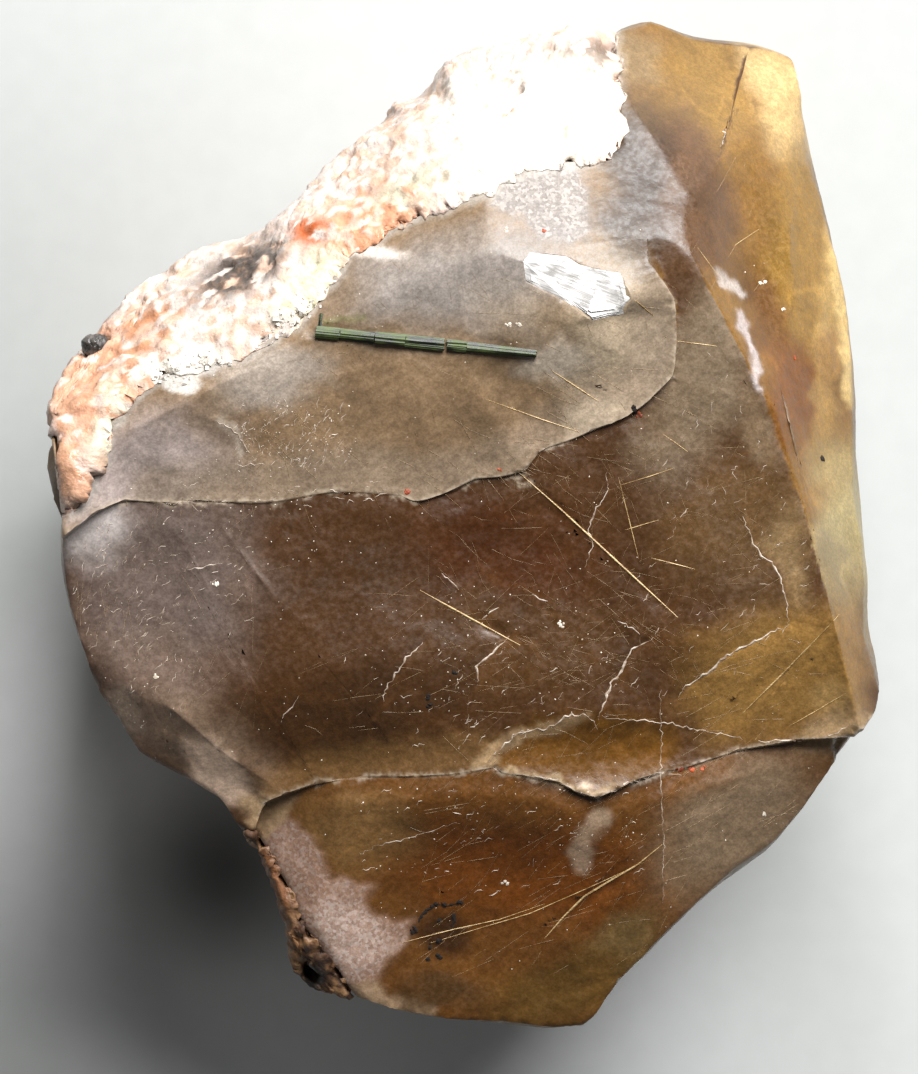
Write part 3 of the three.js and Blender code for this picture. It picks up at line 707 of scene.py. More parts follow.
@dataclass
class QuartzLump:
    """The lump of smoky quartz: its faces, ledges, hackles and tones.

    Attributes:
        fine_edge: Longest triangle side on faces that look up, in millimetres.
        coarse_edge: Longest triangle side elsewhere.
        fine_above: Height above which a face that looks up is made fine.
        ridge_angle: Angle in degrees past which an edge stays sharp.
        soft_rounds: How often the faces between ridges are smoothed.
        worn_rounds: How often everything is smoothed, which wears the ridges.
        seat_reach: Distance from a small mineral within which its seat is filled up.
        seat_rounds: How often the seats are smoothed.
        ledge_reach: Distance from a ledge within which its height decides the facet.
        lip_width: Width of the painted highlight along a ledge's lip.
        lip_height: Height of the step that is left of a ledge.
        thin_reach: How far from a ledge the upper face starts to thin out.
        ledge_end: Where the plate's ledge runs out into the ridge, in plan.
        step_shade_reach: Width of the painted light and painted shade beside a healed crack.
    """

    fine_edge: float = 0.34
    coarse_edge: float = 0.8
    fine_above: float = 13
    ridge_angle: float = 28
    soft_rounds: int = 14
    worn_rounds: int = 2
    seat_reach: float = 0.5
    seat_rounds: int = 160
    ledge_reach: float = 1.2
    lip_width: float = 0.2
    lip_height: float = 0.07
    thin_reach: float = 6.5
    ledge_end: float = 12.4
    step_shade_reach: float = 0.35
    seats: tuple[tuple[Plan, Plan], ...] = (
        ((2.95, 1.9), (10.85, -4.85)),
        ((0.15, -4.7), (3.0, -6.25)),
        ((4.25, -21), (8.9, -17.25)),
        ((13.9, -9.5), (17.6, -6.1)),
        ((4.6, 7.4), (6.9, 5.9)),
        ((-7.3, 9.36), (3.85, 8.24)),
    )
    tones: dict[Facet, str] = field(default_factory=lambda: {
        Facet.PLATE: "937758",
        Facet.MAIN: "593818",
        Facet.LOWER: "7a4d1c",
        Facet.RIGHT: "93692c",
        Facet.SIDES: "7b5f3c",
    })
    markings: tuple[Marking, ...] = (
        Stain((-16, 2.5), (6, 3.5), "b0a3a0", 0.75, 10, (Facet.PLATE,), 0.5),
        Stain((0, 12), (7.5, 3), "9a9490", 0.75, 10, (Facet.PLATE,), 0.4),
        Stain((8, 9), (3.5, 6), "bbaa91", 0.7, 0, (Facet.PLATE,), 0.35),
        # Partly painted light: a paler band of the plate along its lip, lightened further where the plate slopes
        # down into shade.
        Band(LIP, 2.2, "97836e", 0.7, (Facet.PLATE,), 0.3),
        Stain((7.6, 6.4), (2.6, 1.6), "c4ab90", 0.45, 20, (Facet.PLATE,), 0.3),
        Band(LOWER_LIP, 1.6, "8f6a3c", 0.6, (Facet.MAIN,), 0.1),
        Area(CRYSTAL_OUTLINE, 0.3, "787472", 0.85, (Facet.PLATE,), 1),
        Area(MARGIN_OUTLINE, 0.15, "b9b4ad", 0.85, (), 1),
        Band(CONTACT, 0.7, "a6a199", 0.7, (), 0.7),
        Stain((9.2, 18), (1.6, 6.5), "7c6244", 0.8, 4, (), 0.3),
        Stain((-15, -3), (6.5, 7), "70625b", 0.8, 0, (Facet.MAIN,), 0.45),
        Stain((-15.5, -8.5), (4, 4), "776254", 0.7, 30, (Facet.MAIN,), 0.5),
        # Partly painted light: paler quartz on the lower left chip, lightened further because the chip faces
        # away from the lamp.
        Stain((-13, -11.5), (5, 3), "8b745f", 0.7, -30, (Facet.MAIN, Facet.SIDES), 0.5),
        Area(PALE_OUTLINE, 0.5, "dcbea5", 0.85, (), 0.7),
        Stain((3, -6), (6.5, 3.5), "734d22", 0.5, -10, (Facet.MAIN,), 0),
        Stain((-3, -5), (8, 5), "55371b", 0.6, 0, (Facet.MAIN,), 0.1),
        Stain((2, -1.5), (6, 3), "5b2d06", 0.7, -10, (Facet.MAIN,), 0),
        Stain((14, 0), (5, 4.5), "795932", 0.7, 0, (Facet.MAIN,), 0.1),
        Stain((16, -7.5), (6, 4), "c5954e", 0.75, 20, (Facet.MAIN,), 0.1),
        Stain((6.4, -11.5), (4.6, 2), "94641d", 0.9, 0, (Facet.MAIN,), 0),
        Stain((9.8, 2.4), (3, 2), "573718", 0.75, 10, (Facet.MAIN,), 0.1),
        Stain((12.5, 8), (3, 8), "947f65", 0.8, -25, (Facet.MAIN,), 0.3),
        Stain((3, -17.5), (8, 3.5), "814307", 0.75, -5, (Facet.LOWER,), 0),
        Stain((-5, -15.5), (4, 2.6), "8e6c3f", 0.7, 0, (Facet.LOWER,), 0.1),
        Stain((14, -15.5), (6, 4), "8f7b63", 0.8, 35, (Facet.LOWER,), 0.3),
        Stain((5.5, -23.5), (6, 2.4), "725522", 0.7, 20, (Facet.LOWER,), 0.2),
        Area(FROST_OUTLINE, 0.3, "876a59", 0.92, (Facet.LOWER, Facet.SIDES), 0.85),
        Stain((-5.6, -20.9), (1.6, 2.4), "9a8376", 0.7, 25, (Facet.LOWER,), 1),
        Area(RIM_OUTLINE, 0.25, "a2886c", 0.85, (Facet.LOWER, Facet.SIDES), 0.7),
        Area(TAN_OUTLINE, 0.2, "b2946f", 0.8, (), 0.5),
        Band(((6.1, -17.2), (6.0, -16.3), (6.4, -15.6), (7.1, -14.9)), 0.75, "b59c82", 0.75, (), 0.5),
        Stain((12.5, 21.5), (3.4, 4), "a8803c", 0.8, 0, (Facet.RIGHT,), 0.1),
        Stain((10.9, 18), (2.0, 5), "7a5a3a", 0.7, 0, (Facet.MAIN, Facet.RIGHT), 0.15),
        Stain((11.9, 16.4), (2.2, 4.2), "86643f", 0.85, 14, (Facet.MAIN, Facet.RIGHT), 0.6),
        Stain((11.4, 13.6), (1.3, 2.4), "4d3016", 0.6, 25, (Facet.MAIN, Facet.RIGHT), 0.1),
        Stain((17, 13.5), (1.9, 9), "a37a32", 0.9, -4, (Facet.RIGHT,), 0),
        Stain((15.3, 10), (1.5, 3.8), "6e4519", 0.8, 20, (Facet.RIGHT,), 0),
        # Partly painted light: golden quartz at the top of the right edge, brightened as the glow of light
        # passing through it.
        Stain((16.4, 21.6), (2.0, 4.4), "e4c084", 0.9, 6, (Facet.RIGHT, Facet.SIDES), 0.25),
        Stain((9, 23), (1.6, 1.4), "a08a68", 0.5, 0, (Facet.MAIN, Facet.RIGHT), 0.25),
        Stain((16.8, 6.3), (1.9, 3.6), "814808", 0.85, 0, (Facet.RIGHT,), 0),
        Stain((19.7, -1), (2.6, 6), "b8a776", 0.85, 4, (Facet.RIGHT, Facet.SIDES), 0.3),
        Stain((18.9, 12), (1, 9), "d6ad62", 0.8, -6, (Facet.RIGHT,), 0.1),
        Band(((12.7, 12.4), (13.3, 11.9), (14.0, 11.1)), 0.32, "c4bab4", 0.8, (), 0.6),
        Band(((14.0, 10.2), (14.5, 8.8), (14.9, 6.8)), 0.36, "c0b6b4", 0.8, (), 0.6),
        Area(CHIP_OUTLINE, 0.2, "7a4f17", 0.85, (Facet.MAIN,), 0),
        Band(((1.0, -12.3), (2.0, -11.2), (3.2, -10.7), (5.0, -10.3), (6.2, -9.8)), 0.5, "b29671",
             0.6, (Facet.MAIN,), 0.4),
        Band(((2.2, -12.55), (3.5, -12.8), (5, -13.05), (6.1, -13.45), (6.9, -13.7), (7.6, -13.3)),
             0.28, "a08763", 0.75, (), 0.5),
        Stain((6.2, -13.3), (0.9, 0.25), "bba893", 0.9, 5, (), 0.8),
        Area(SHADE_OUTLINE, 0.9, "6a4829", 0.9, (), 0),
        # Partly painted light: golden quartz along the right edge, brightened as the glow of light passing
        # through the thin edge.
        Band(((19.1, 13.6), (19.5, 10), (19.9, 6)), 0.7, "ecc983", 0.8, (Facet.RIGHT,), 0.2),
        Band(((-6.6, 9.9), (-5.0, 10.0)), 0.35, "8c8a58", 0.5, (Facet.PLATE,), 0.3),
        Band(((-11.8, 4.9), (-11.2, 4.3), (-11.0, 3.4)), 0.35, "c9bcab", 0.5, (Facet.PLATE,), 0.5),
        # Painted shade: a dark patch that holds down the lamp's glare on this slope, which faces the lamp.
        Stain((8.8, 16.8), (2.3, 4.8), "402a14", 0.92, 0, (), 0.05),
        Stain((2.2, 10.8), (3, 1.8), "a89a8c", 0.6, 0, (Facet.PLATE,), 0.4),
        # Painted light: these two patches lighten the plate where its slopes face away from the lamp.
        Stain((4.4, 7.9), (2.6, 1.3), "dccbb6", 0.8, 0, (Facet.PLATE,), 0.3),
        Stain((6.8, 5.1), (1.8, 1.2), "dac4a8", 0.75, 30, (Facet.PLATE,), 0.3),
        Stain((-9.6, 6.9), (3.8, 1.7), "ada297", 0.75, 12, (Facet.PLATE,), 0.5),
        Stain((3.4, 9.9), (1.8, 1.2), "b5a38e", 0.6, 0, (Facet.PLATE,), 0.3),
        # Painted light: lightens the lower left side, which the lamp leaves in shade.
        Stain((-17.1, -9.2), (1.2, 1.6), "b09a86", 0.7, 0, (Facet.MAIN, Facet.SIDES), 0.4),
        Stain((18.4, -8.6), (1.6, 1.2), "c79f62", 0.75, 0, (Facet.MAIN,), 0.2),
        Stain((-4, 13.2), (1.5, 0.8), "d6cdc4", 0.8, 10, (Facet.PLATE,), 0.6),
        # Partly painted light: a pale lavender patch on the left edge, lightened further as painted rim light.
        Stain((-19, 0.2), (3, 3), "c2b8b3", 0.9, 0, (Facet.MAIN, Facet.SIDES), 0.5),
        Stain((18.8, -10.5), (2.4, 1.4), "a78a64", 0.85, 25, (), 0.3),
        Stain((15, 4.6), (1.3, 2.6), "8f7658", 0.8, 25, (Facet.MAIN,), 0.3),
        Stain((-1, -23.7), (2.8, 1.2), "513819", 0.8, 0, (Facet.LOWER,), 0.05),
        Stain((-0.9, -20.8), (1.9, 1.5), "3c2107", 0.85, 0, (Facet.LOWER,), 0),
        Stain((8.4, -20.8), (2.4, 1.5), "836a40", 0.7, 30, (Facet.LOWER,), 0.1),
        Stain((16.7, -1.8), (1.3, 3), "a08258", 0.75, 15, (Facet.MAIN,), 0.2),
        Stain((18.4, -2.4), (0.9, 3.4), "93805f", 0.7, 6, (Facet.RIGHT,), 0.2),
        Stain((18.6, 8.2), (0.9, 2.2), "a07034", 0.7, 0, (Facet.RIGHT,), 0.05),
    )

    def refined(self, frame: dict, ground: Ground) -> tuple[bmesh.types.BMesh, list[np.ndarray]]:
        """Makes the fine mesh from the frame's solid.

        Args:
            ground: Turns frame points into plan positions.

        Returns:
            The fine mesh, with its broken texture, and how far each vertex belongs to the upper
            face at the plate's ledge and at the lower one, from 0 to 1.
        """
        bm = solid_copy(frame, "smoky_quartz")

        def by_ledge(points: np.ndarray) -> np.ndarray:
            """Tells which points are within a millimetre of a ledge."""
            plan = ground.plan(points)
            near = [line_distance(plan, line)[0] for line in (PLATE_OUTLINE, LOWER_OUTLINE)]
            return (np.minimum(*near) < 1) & (plan[:, 1] < self.ledge_end)

        mark_ridges(bm, self.ridge_angle, by_ledge)
        split_long_edges(bm, self.fine_edge, self.coarse_edge, self.fine_above)
        soften(bm, off_ridges(bm), self.soft_rounds)
        soften(bm, list(bm.verts), self.worn_rounds)
        self.fill_seats(bm, ground)
        uppers = [
            self.thin_out(bm, ground, outline, inner_is_low)
            for outline, inner_is_low in ((PLATE_OUTLINE, False), (LOWER_OUTLINE, True))
        ]
        self.hackle(bm, ground)
        return bm, uppers

    def thin_out(
        self, bm: bmesh.types.BMesh, ground: Ground, outline: Sequence[Plan], inner_is_low: bool
    ) -> np.ndarray:
        """Slopes the upper face down to a ledge, which leaves a thin lip of its step.

        Args:
            bm: The fine mesh.
            ground: Turns frame points into plan positions, and takes the mesh as it is now.
            outline: The ledge's outline, counterclockwise.
            inner_is_low: Whether the face inside the outline is the lower one.

        Returns:
            How far each vertex belongs to the upper face, from 0 to 1.
        """
        ground.cover(bm)
        stops = np.array(sampled([*outline, outline[0]], 0.5))
        along = np.gradient(stops, axis=0)
        along /= np.linalg.norm(along, axis=1)[:, None]
        inward = np.stack([-along[:, 1], along[:, 0]], axis=1) * self.ledge_reach
        steps = np.array([
            (ground.over(tuple(stop + side))[0].z - ground.over(tuple(stop - side))[0].z) / MM
            for stop, side in zip(stops, inward)
        ])
        steps = np.clip(-steps if inner_is_low else steps, 0, 2)
        steps[(np.abs(stops).max(axis=1) > 22) | (stops[:, 1] > self.ledge_end)] = 0
        steps = np.convolve(np.pad(steps, 4, "edge"), np.ones(9) / 9, "valid")
        points = positions(bm)
        plan = ground.plan(points)
        upper = self.ledge_share(points, plan, outline, ground, inner_is_low)
        away, _ = line_distance(plan, [*outline, outline[0]])
        bm.verts.ensure_lookup_table()
        for i in np.flatnonzero((away < self.thin_reach) & (upper > 0) & (points[:, 2] > 8 * MM)):
            gaps = ((stops - plan[i]) ** 2).sum(axis=1)
            near = np.exp((gaps.min() - gaps) / 0.5)
            step = float(steps @ near / near.sum())
            fall = 1 - smooth_share(away[i], 0, self.thin_reach)
            bm.verts[i].co.z -= max(step - self.lip_height, 0) * fall * upper[i] * MM
        return upper

    def fill_seats(self, bm: bmesh.types.BMesh, ground: Ground) -> None:
        """Levels the seats under the small minerals, so that those lie in unbroken quartz."""
        bm.normal_update()
        points = positions(bm)
        plan = ground.plan(points)
        near = np.full(len(points), np.inf)
        for seat in self.seats:
            near = np.minimum(near, line_distance(plan, seat)[0])
        bm.verts.ensure_lookup_table()
        high = points[:, 2] > self.fine_above * MM
        chosen = np.flatnonzero((near < self.seat_reach) & high)
        soften(bm, [bm.verts[i] for i in chosen], self.seat_rounds)

    def hackle(self, bm: bmesh.types.BMesh, ground: Ground) -> None:
        """Roughens the broken faces: low swells, curved ripples and fine feathery hackles."""
        bm.normal_update()
        points = positions(bm)
        mm = points / MM
        swell = wobble(mm, 2.6) * 0.05 + wobble(mm, 1.1, 7) * 0.03
        fine = np.abs(wobble(mm, 0.55, 3)) * -0.035
        plan = ground.plan(points)
        bend = wobble(plan, 6, 11)
        away = np.hypot(plan[:, 0] + 9, plan[:, 1] - 15)
        rings = np.sin((away + 1.6 * bend) * 2 * math.pi / 1.15)
        patch = smooth_share(wobble(plan, 5, 5), -0.05, 0.35)
        steep = 1 - smooth_share(normals(bm)[:, 2], 0.1, 0.35)
        lift = swell + fine + rings * patch * 0.008 + wobble(mm, 3.8, 80) * 0.2 * steep
        lift *= smooth_share(mm[:, 2], 0.1, 1.5)
        out = normals(bm)
        for vert, height, normal in zip(bm.verts, lift, out):
            vert.co += Vector(normal * height * MM)

    def shares(
        self, bm: bmesh.types.BMesh, ground: Ground, uppers: list[np.ndarray]
    ) -> dict[Facet, np.ndarray]:
        """Finds how far each vertex belongs to each facet.

        Args:
            bm: The fine mesh.
            ground: Turns frame points into plan positions.
            uppers: How far each vertex is on the upper side of each of the two ledges.

        Returns:
            A share from 0 to 1 per vertex, for each facet.
        """
        points, out = positions(bm), normals(bm)
        plan = ground.plan(points)
        sides = 1 - smooth_share(out[:, 2], 0.02, 0.3)
        plate, upper = (smooth_share(share, 0.35, 0.65) for share in uppers)
        lower = 1 - upper
        right = smooth_share(out[:, 0], 0.22, 0.42) * smooth_share(plan[:, 1], -7, 0)
        right *= smooth_share(plan[:, 0] + 0.25 * plan[:, 1], 9, 12)
        right *= 1 - plate * (1 - smooth_share(plan[:, 1], 12, 15))
        rest = 1 - sides
        shares = {Facet.SIDES: sides, Facet.RIGHT: rest * right}
        rest = rest * (1 - right)
        shares[Facet.PLATE] = rest * plate
        shares[Facet.LOWER] = rest * (1 - plate) * lower
        shares[Facet.MAIN] = rest * (1 - plate) * (1 - lower)
        return shares

    def ledge_share(
        self,
        points: np.ndarray,
        plan: np.ndarray,
        outline: Sequence[Plan],
        ground: Ground,
        inner_is_low: bool = False,
    ) -> np.ndarray:
        """Finds which side of a ledge each vertex is on, by its height where it is near.

        Args:
            points: N positions in metres.
            plan: The same in plan, in millimetres.
            outline: The ledge's outline, counterclockwise.
            ground: The surface, for the heights to each side.
            inner_is_low: Whether the face inside the outline is the lower one.

        Returns:
            How far each vertex belongs to the upper face, from 0 to 1.
        """
        inside = inside_outline(plan, outline)
        share = (inside != inner_is_low).astype(float)
        away, foot = line_distance(plan, [*outline, outline[0]])
        for i in np.flatnonzero((away < self.ledge_reach) & (np.abs(plan).max(1) < 25)):
            step = plan[i] - foot[i]
            length = np.hypot(*step)
            if length < 1e-6:
                continue
            step = step / length * self.ledge_reach * (1 if share[i] else -1)
            high = ground.over(tuple(foot[i] + step))[0].z
            low = ground.over(tuple(foot[i] - step))[0].z
            if high - low > 0.15 * MM:
                share[i] = min(max((points[i, 2] - low) / (high - low), 0), 1)
        return share

    def lip_highlight(self, bm: bmesh.types.BMesh, ground: Ground) -> np.ndarray:
        """Finds how near each vertex is to the lip of a ledge, where a highlight is painted.

        Args:
            bm: The fine mesh.
            ground: Turns frame points into plan positions.

        Returns:
            A value per vertex for the painted highlight, 1 on a lip and 0 away from it.
        """
        plan = ground.plan(positions(bm))
        near = [line_distance(plan, line)[0] for line in (PLATE_OUTLINE, LOWER_OUTLINE)]
        by_ledge = (np.minimum(*near) < 0.7) & (plan[:, 1] < self.ledge_end)
        lips = [
            vert for vert, beside in zip(bm.verts, by_ledge)
            if beside and any(not edge.smooth and edge.is_convex for edge in vert.link_edges)
        ]
        tree = KDTree(len(lips))
        for i, vert in enumerate(lips):
            tree.insert(vert.co, i)
        tree.balance()
        away = np.array([tree.find(vert.co)[2] for vert in bm.verts]) / MM
        return 1 - smooth_share(away, 0.02, self.lip_width)

    def clouded(self, points: np.ndarray, tone: np.ndarray, haze: np.ndarray) -> np.ndarray:
        """Gives the tone the clouds and thin veils that lie inside the quartz.

        Args:
            points: N points in millimetres.
            tone: The linear colour of each.
            haze: How milky the quartz is there.

        Returns:
            The new colours.
        """
        clouds = wobble(points, 3.4, 40) * 0.2 + wobble(points, 1.5, 44) * 0.14
        clouds += wobble(points, 0.6, 47) * 0.12
        veil = np.exp(-((wobble(points, 2.7, 51) / 0.05) ** 2))
        veil *= smooth_share(wobble(points, 4.5, 55), -0.05, 0.3) * 0.3
        light = (clouds + veil) * (1 - 0.55 * haze)
        return tone * (1 + light[:, None])

    def paint_step_light_and_shade(self, plan: np.ndarray, tone: np.ndarray) -> np.ndarray:
        """Paints light on one side of each healed crack and shade on the other, like the lit and shaded sides of
        a small step.

        Args:
            plan: N plan positions in millimetres.
            tone: The linear colour of each.

        Returns:
            The new colours.
        """
        light = np.zeros(len(plan))
        for line, radius in Cracks().lines:
            away, foot = line_distance(plan, line)
            along = np.subtract(line[-1], line[0])
            side = (plan - foot) @ np.array((-along[1], along[0]))
            fall = np.exp(-away / self.step_shade_reach) * min(1, radius / 0.045)
            # Painted light on one side of the crack, painted shade on the other.
            light += np.where(side > 0, 0.4, -0.25) * fall
        return np.clip(tone * (1 + light[:, None]), 0, 1)

    def build(
        self, frame: dict, ground: Ground, material: bpy.types.Material
    ) -> bpy.types.Object:
        """Makes the lump.

        Args:
            ground: Gets the lump's surface.
            material: The quartz.

        Returns:
            The piece.
        """
        bm, uppers = self.refined(frame, ground)
        bm.normal_update()
        bm.verts.index_update()
        ground.cover(bm)
        shares, lip_light = self.shares(bm, ground, uppers), self.lip_highlight(bm, ground)
        plan = ground.plan(positions(bm))
        ragged = [wobble(plan, 0.9, 30 + k) * 0.32 + wobble(plan, 0.4, 35 + k) * 0.16 for k in (0, 5)]
        clear = plan + np.stack(ragged, axis=1)
        drifted = clear + np.stack([wobble(plan, 2.3, 20 + k) * 0.9 for k in (0, 5)], axis=1)
        drifted += strayed(positions(bm) / MM)
        tone = sum(shares[facet][:, None] * np.array(linear(code))
                   for facet, code in self.tones.items())
        haze = 0.25 * shares[Facet.PLATE] + 0.1 * shares[Facet.MAIN] + 0.2 * shares[Facet.SIDES]
        for marking in self.markings:
            weight = marking.weight(drifted if isinstance(marking, Stain) else clear)
            if marking.facets:
                weight = weight * sum(shares[facet] for facet in marking.facets)
            tone = tone * (1 - weight[:, None]) + weight[:, None] * np.array(linear(marking.colour))
            haze = haze * (1 - weight) + weight * marking.haze
        # The painted light and shade beside the healed cracks go on last.
        tone = self.paint_step_light_and_shade(plan, self.clouded(positions(bm) / MM, tone, haze))
        piece = new_piece("quartz_lump", bm, [material])
        paint(piece.data, "tone", tone)
        weigh(piece.data, "haze", haze)
        # The painted highlight along the ledges' lips.
        weigh(piece.data, "lip_highlight", lip_light)
        piece.data.shade_smooth()
        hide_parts("smoky_quartz")
        return piece



def rod(
    bm: bmesh.types.BMesh,
    start: Vector,
    end: Vector,
    up: Vector,
    radii: tuple[float, float],
    sides: int = 4,
    flat: float = 1,
) -> list:
    """Adds a straight tapered rod.

    Args:
        bm: The mesh that gets it.
        start: Its first end, in metres.
        end: Its other end.
        up: The normal of what it lies on.
        radii: Its radius at each end, in millimetres.
        sides: How many sides it has.
        flat: Its height as a share of its width.

    Returns:
        The new vertices.
    """
    along = end - start
    length = along.length
    if length < 1e-7:
        return []
    along.normalize()
    across = along.cross(up).normalized()
    over = across.cross(along)
    turn = Matrix((across, over * flat, along)).transposed().to_4x4()
    return bmesh.ops.create_cone(
        bm, cap_ends=True, segments=sides, radius1=radii[0] * MM, radius2=radii[1] * MM,
        depth=length * 1.04, matrix=Matrix.Translation((start + end) / 2) @ turn,
    )["verts"]


def sampled(line: Sequence[Plan], step: float) -> list[Plan]:
    """Returns places along a line in plan, no further than step apart."""
    places: list[Plan] = [line[0]]
    for (x0, y0), (x1, y1) in zip(line[:-1], line[1:]):
        count = max(1, math.ceil(math.hypot(x1 - x0, y1 - y0) / step))
        for i in range(1, count + 1):
            share = i / count
            places.append((x0 + (x1 - x0) * share, y0 + (y1 - y0) * share))
    return places


def lay_strand(
    bm: bmesh.types.BMesh,
    ground: Ground,
    line: Sequence[Plan],
    radius: float,
    lift: float = 0,
    step: float = 0.8,
    sides: int = 4,
    flat: float = 1,
    blunt: float = 0.3,
    roughness: float = 0,
) -> None:
    """Lays a thin strand along the surface, thinner towards its ends.

    Args:
        bm: The mesh that gets it.
        ground: The surface.
        line: The strand's corners in plan, in millimetres.
        radius: Its largest radius.
        lift: Height of its middle line over the surface.
        step: Longest straight piece.
        sides: How many sides it has.
        flat: Its height as a share of its width.
        blunt: Its radius at the ends, as a share of the largest.
        roughness: How much its radius and route vary.
    """
    places = sampled(line, step)
    laid = []
    for i, place in enumerate(places):
        share = i / (len(places) - 1)
        thin = blunt + (1 - blunt) * min(1, 3.5 * min(share, 1 - share))
        size = radius * thin * (1 + roughness * random.uniform(-0.8, 1.2))
        drift = roughness * 0.05
        place = (place[0] + random.gauss(0, drift), place[1] + random.gauss(0, drift))
        point, up = ground.over(place, lift)
        laid.append((point, up, max(size, 0.006)))
    for (start, up, first), (end, _, last) in zip(laid[:-1], laid[1:]):
        rod(bm, start, end, up, (first, last), sides, flat)


def grain_hash(cells: np.ndarray, seed: float) -> np.ndarray:
    """Returns a number from 0 to 1 for each of N grain centres."""
    wave = np.sin(cells @ np.array([12.9898, 78.233, 37.719]) + seed) * 43758.5453
    return wave - np.floor(wave)


def grains_of(points: np.ndarray, size: float) -> tuple[np.ndarray, np.ndarray, np.ndarray]:
    """Finds the grain that each point lies in.

    Args:
        points: N points in millimetres.
        size: The grains' size in millimetres.

    Returns:
        The distance to the grain's centre, how much nearer it is than the next centre, both in
        grain sizes, and the centres.
    """
    near, margin, centres = [], [], []
    for point in points / size:
        away, found = noise.voronoi(Vector(point))
        near.append(away[0])
        margin.append(away[1] - away[0])
        centres.append(found[0][:])
    return np.array(near), np.array(margin), np.array(centres)


@dataclass(frozen=True)
class Patch:
    """A part of a crust where a share of the grains has a colour of its own."""

    spot: Plan
    size: Plan
    colour: str
    share: float = 0.7
    turn: float = 0


@dataclass
class Crust:
    """A crust of grown-together grains, refined from its solid.

    Attributes:
        node: The solid's name in the frame.
        name: The piece's name.
        slot: The record's material slot; not used.
        fine_edge: Longest triangle side on faces that look up, in millimetres.
        coarse_edge: Longest triangle side elsewhere.
        sizes: The sizes of the large and small grains.
        relief: How far grains of each size stand out.
        proud: How far the whole crust is swollen, to close up to the quartz.
        soft_rounds: How often it is smoothed before the grains are cut.
        colours: The grains' usual sRGB hex colours.
        patches: Where other colours are.
        seam: Where it meets the quartz in plan, with the quartz to the right of the line.
        lap_reach: How far from the seam the crust is drawn over the quartz.
        lap_width: How far it is drawn at most.
    """

    node: str
    name: str
    slot: str
    fine_edge: float = 0.3
    coarse_edge: float = 0.7
    sizes: tuple[float, float] = (1.2, 0.42)
    relief: tuple[float, float] = (0.2, 0.1)
    proud: float = 0.12
    soft_rounds: int = 6
    colours: tuple[str, ...] = ("cec0b7", "cbb7ab", "cfc2b8", "c4a692")
    patches: tuple[Patch, ...] = ()
    seam: Sequence[Plan] = ()
    lap_reach: float = 0.9
    lap_width: float = 0.55

    def lap(self, bm: bmesh.types.BMesh, ground: Ground) -> None:
        """Draws the crust's upper rim over the quartz beside it, as a thin ragged edge.

        Args:
            bm: The crust's fine mesh.
            ground: The quartz's surface.
        """
        bm.normal_update()
        stops = np.array(sampled(self.seam, 0.25))
        along = np.gradient(stops, axis=0)
        along /= np.linalg.norm(along, axis=1)[:, None]
        points, out = positions(bm), normals(bm)
        plan = ground.plan(points)
        ragged = 0.55 + 0.7 * wobble(plan, 0.8, 60) + 0.35 * wobble(plan, 0.35, 64)
        bm.verts.ensure_lookup_table()
        for i in np.flatnonzero(out[:, 2] > 0.05):
            gaps = np.hypot(*(stops - plan[i]).T)
            near = int(np.argmin(gaps))
            if gaps[near] > self.lap_reach:
                continue
            share = self.lap_width * max(ragged[i], 0.1) * (1 - gaps[near] / self.lap_reach)
            step = np.array((along[near, 1], -along[near, 0])) * share
            hit, up = ground.over(tuple(plan[i] + step))
            if up.z > 0.25 and abs(hit.z - points[i, 2]) < 1.4 * MM:
                vert = bm.verts[i]
                vert.co.x += step[0] * MM
                vert.co.y += step[1] * MM
                vert.co.z = max(vert.co.z, hit.z + 0.04 * MM)

    def build(
        self, frame: dict, ground: Ground, material: bpy.types.Material
    ) -> bpy.types.Object:
        """Makes the crust.

        Args:
            ground: Turns frame points into plan positions.
            material: The crust's finish.

        Returns:
            The piece.
        """
        bm = solid_copy(frame, self.node)
        mark_ridges(bm, 180)
        split_long_edges(bm, self.fine_edge, self.coarse_edge, 3)
        soften(bm, list(bm.verts), self.soft_rounds)
        bm.normal_update()
        points = positions(bm) / MM
        out = normals(bm)
        fade = smooth_share(points[:, 2], 0.1, 1.2)
        lift = np.full(len(points), self.proud)
        for size, relief, seed in zip(self.sizes, self.relief, (1.0, 5.0)):
            _, margin, centres = grains_of(points, size)
            offset = points / size - centres
            tilt = np.stack([grain_hash(centres, seed + k) - 0.5 for k in (1, 2, 3)], axis=1)
            lift += relief * (grain_hash(centres, seed) - 0.5)
            lift += relief * 1.2 * np.einsum("ij,ij->i", offset, tilt)
            lift -= relief * 0.3 * (1 - smooth_share(margin, 0, 0.12))
        for vert, height, normal, share in zip(bm.verts, lift, out, fade):
            vert.co += Vector(normal * height * share * MM)
        if self.seam:
            self.lap(bm, ground)
        bm.normal_update()
        _, margin, centres = grains_of(points, self.sizes[1] * 1.35)
        pick = (grain_hash(centres, 3) * len(self.colours)).astype(int)
        base = np.array([linear(code) for code in self.colours])[pick]
        plan = ground.plan(points * MM) + strayed(points)
        for index, patch in enumerate(self.patches):
            stain = Stain(patch.spot, patch.size, patch.colour, 1, patch.turn)
            chosen = grain_hash(centres, 11 + index) < patch.share
            weight = (stain.weight(plan) * chosen)[:, None]
            base = base * (1 - weight) + weight * np.array(linear(patch.colour))
        ground.encrust(bm)
        piece = new_piece(self.name, bm, [material])
        paint(piece.data, "tone", base)
        weigh(piece.data, "haze", 1 - smooth_share(margin, 0, 0.2))
        piece.data.shade_smooth()
        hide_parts(self.node)
        return piece


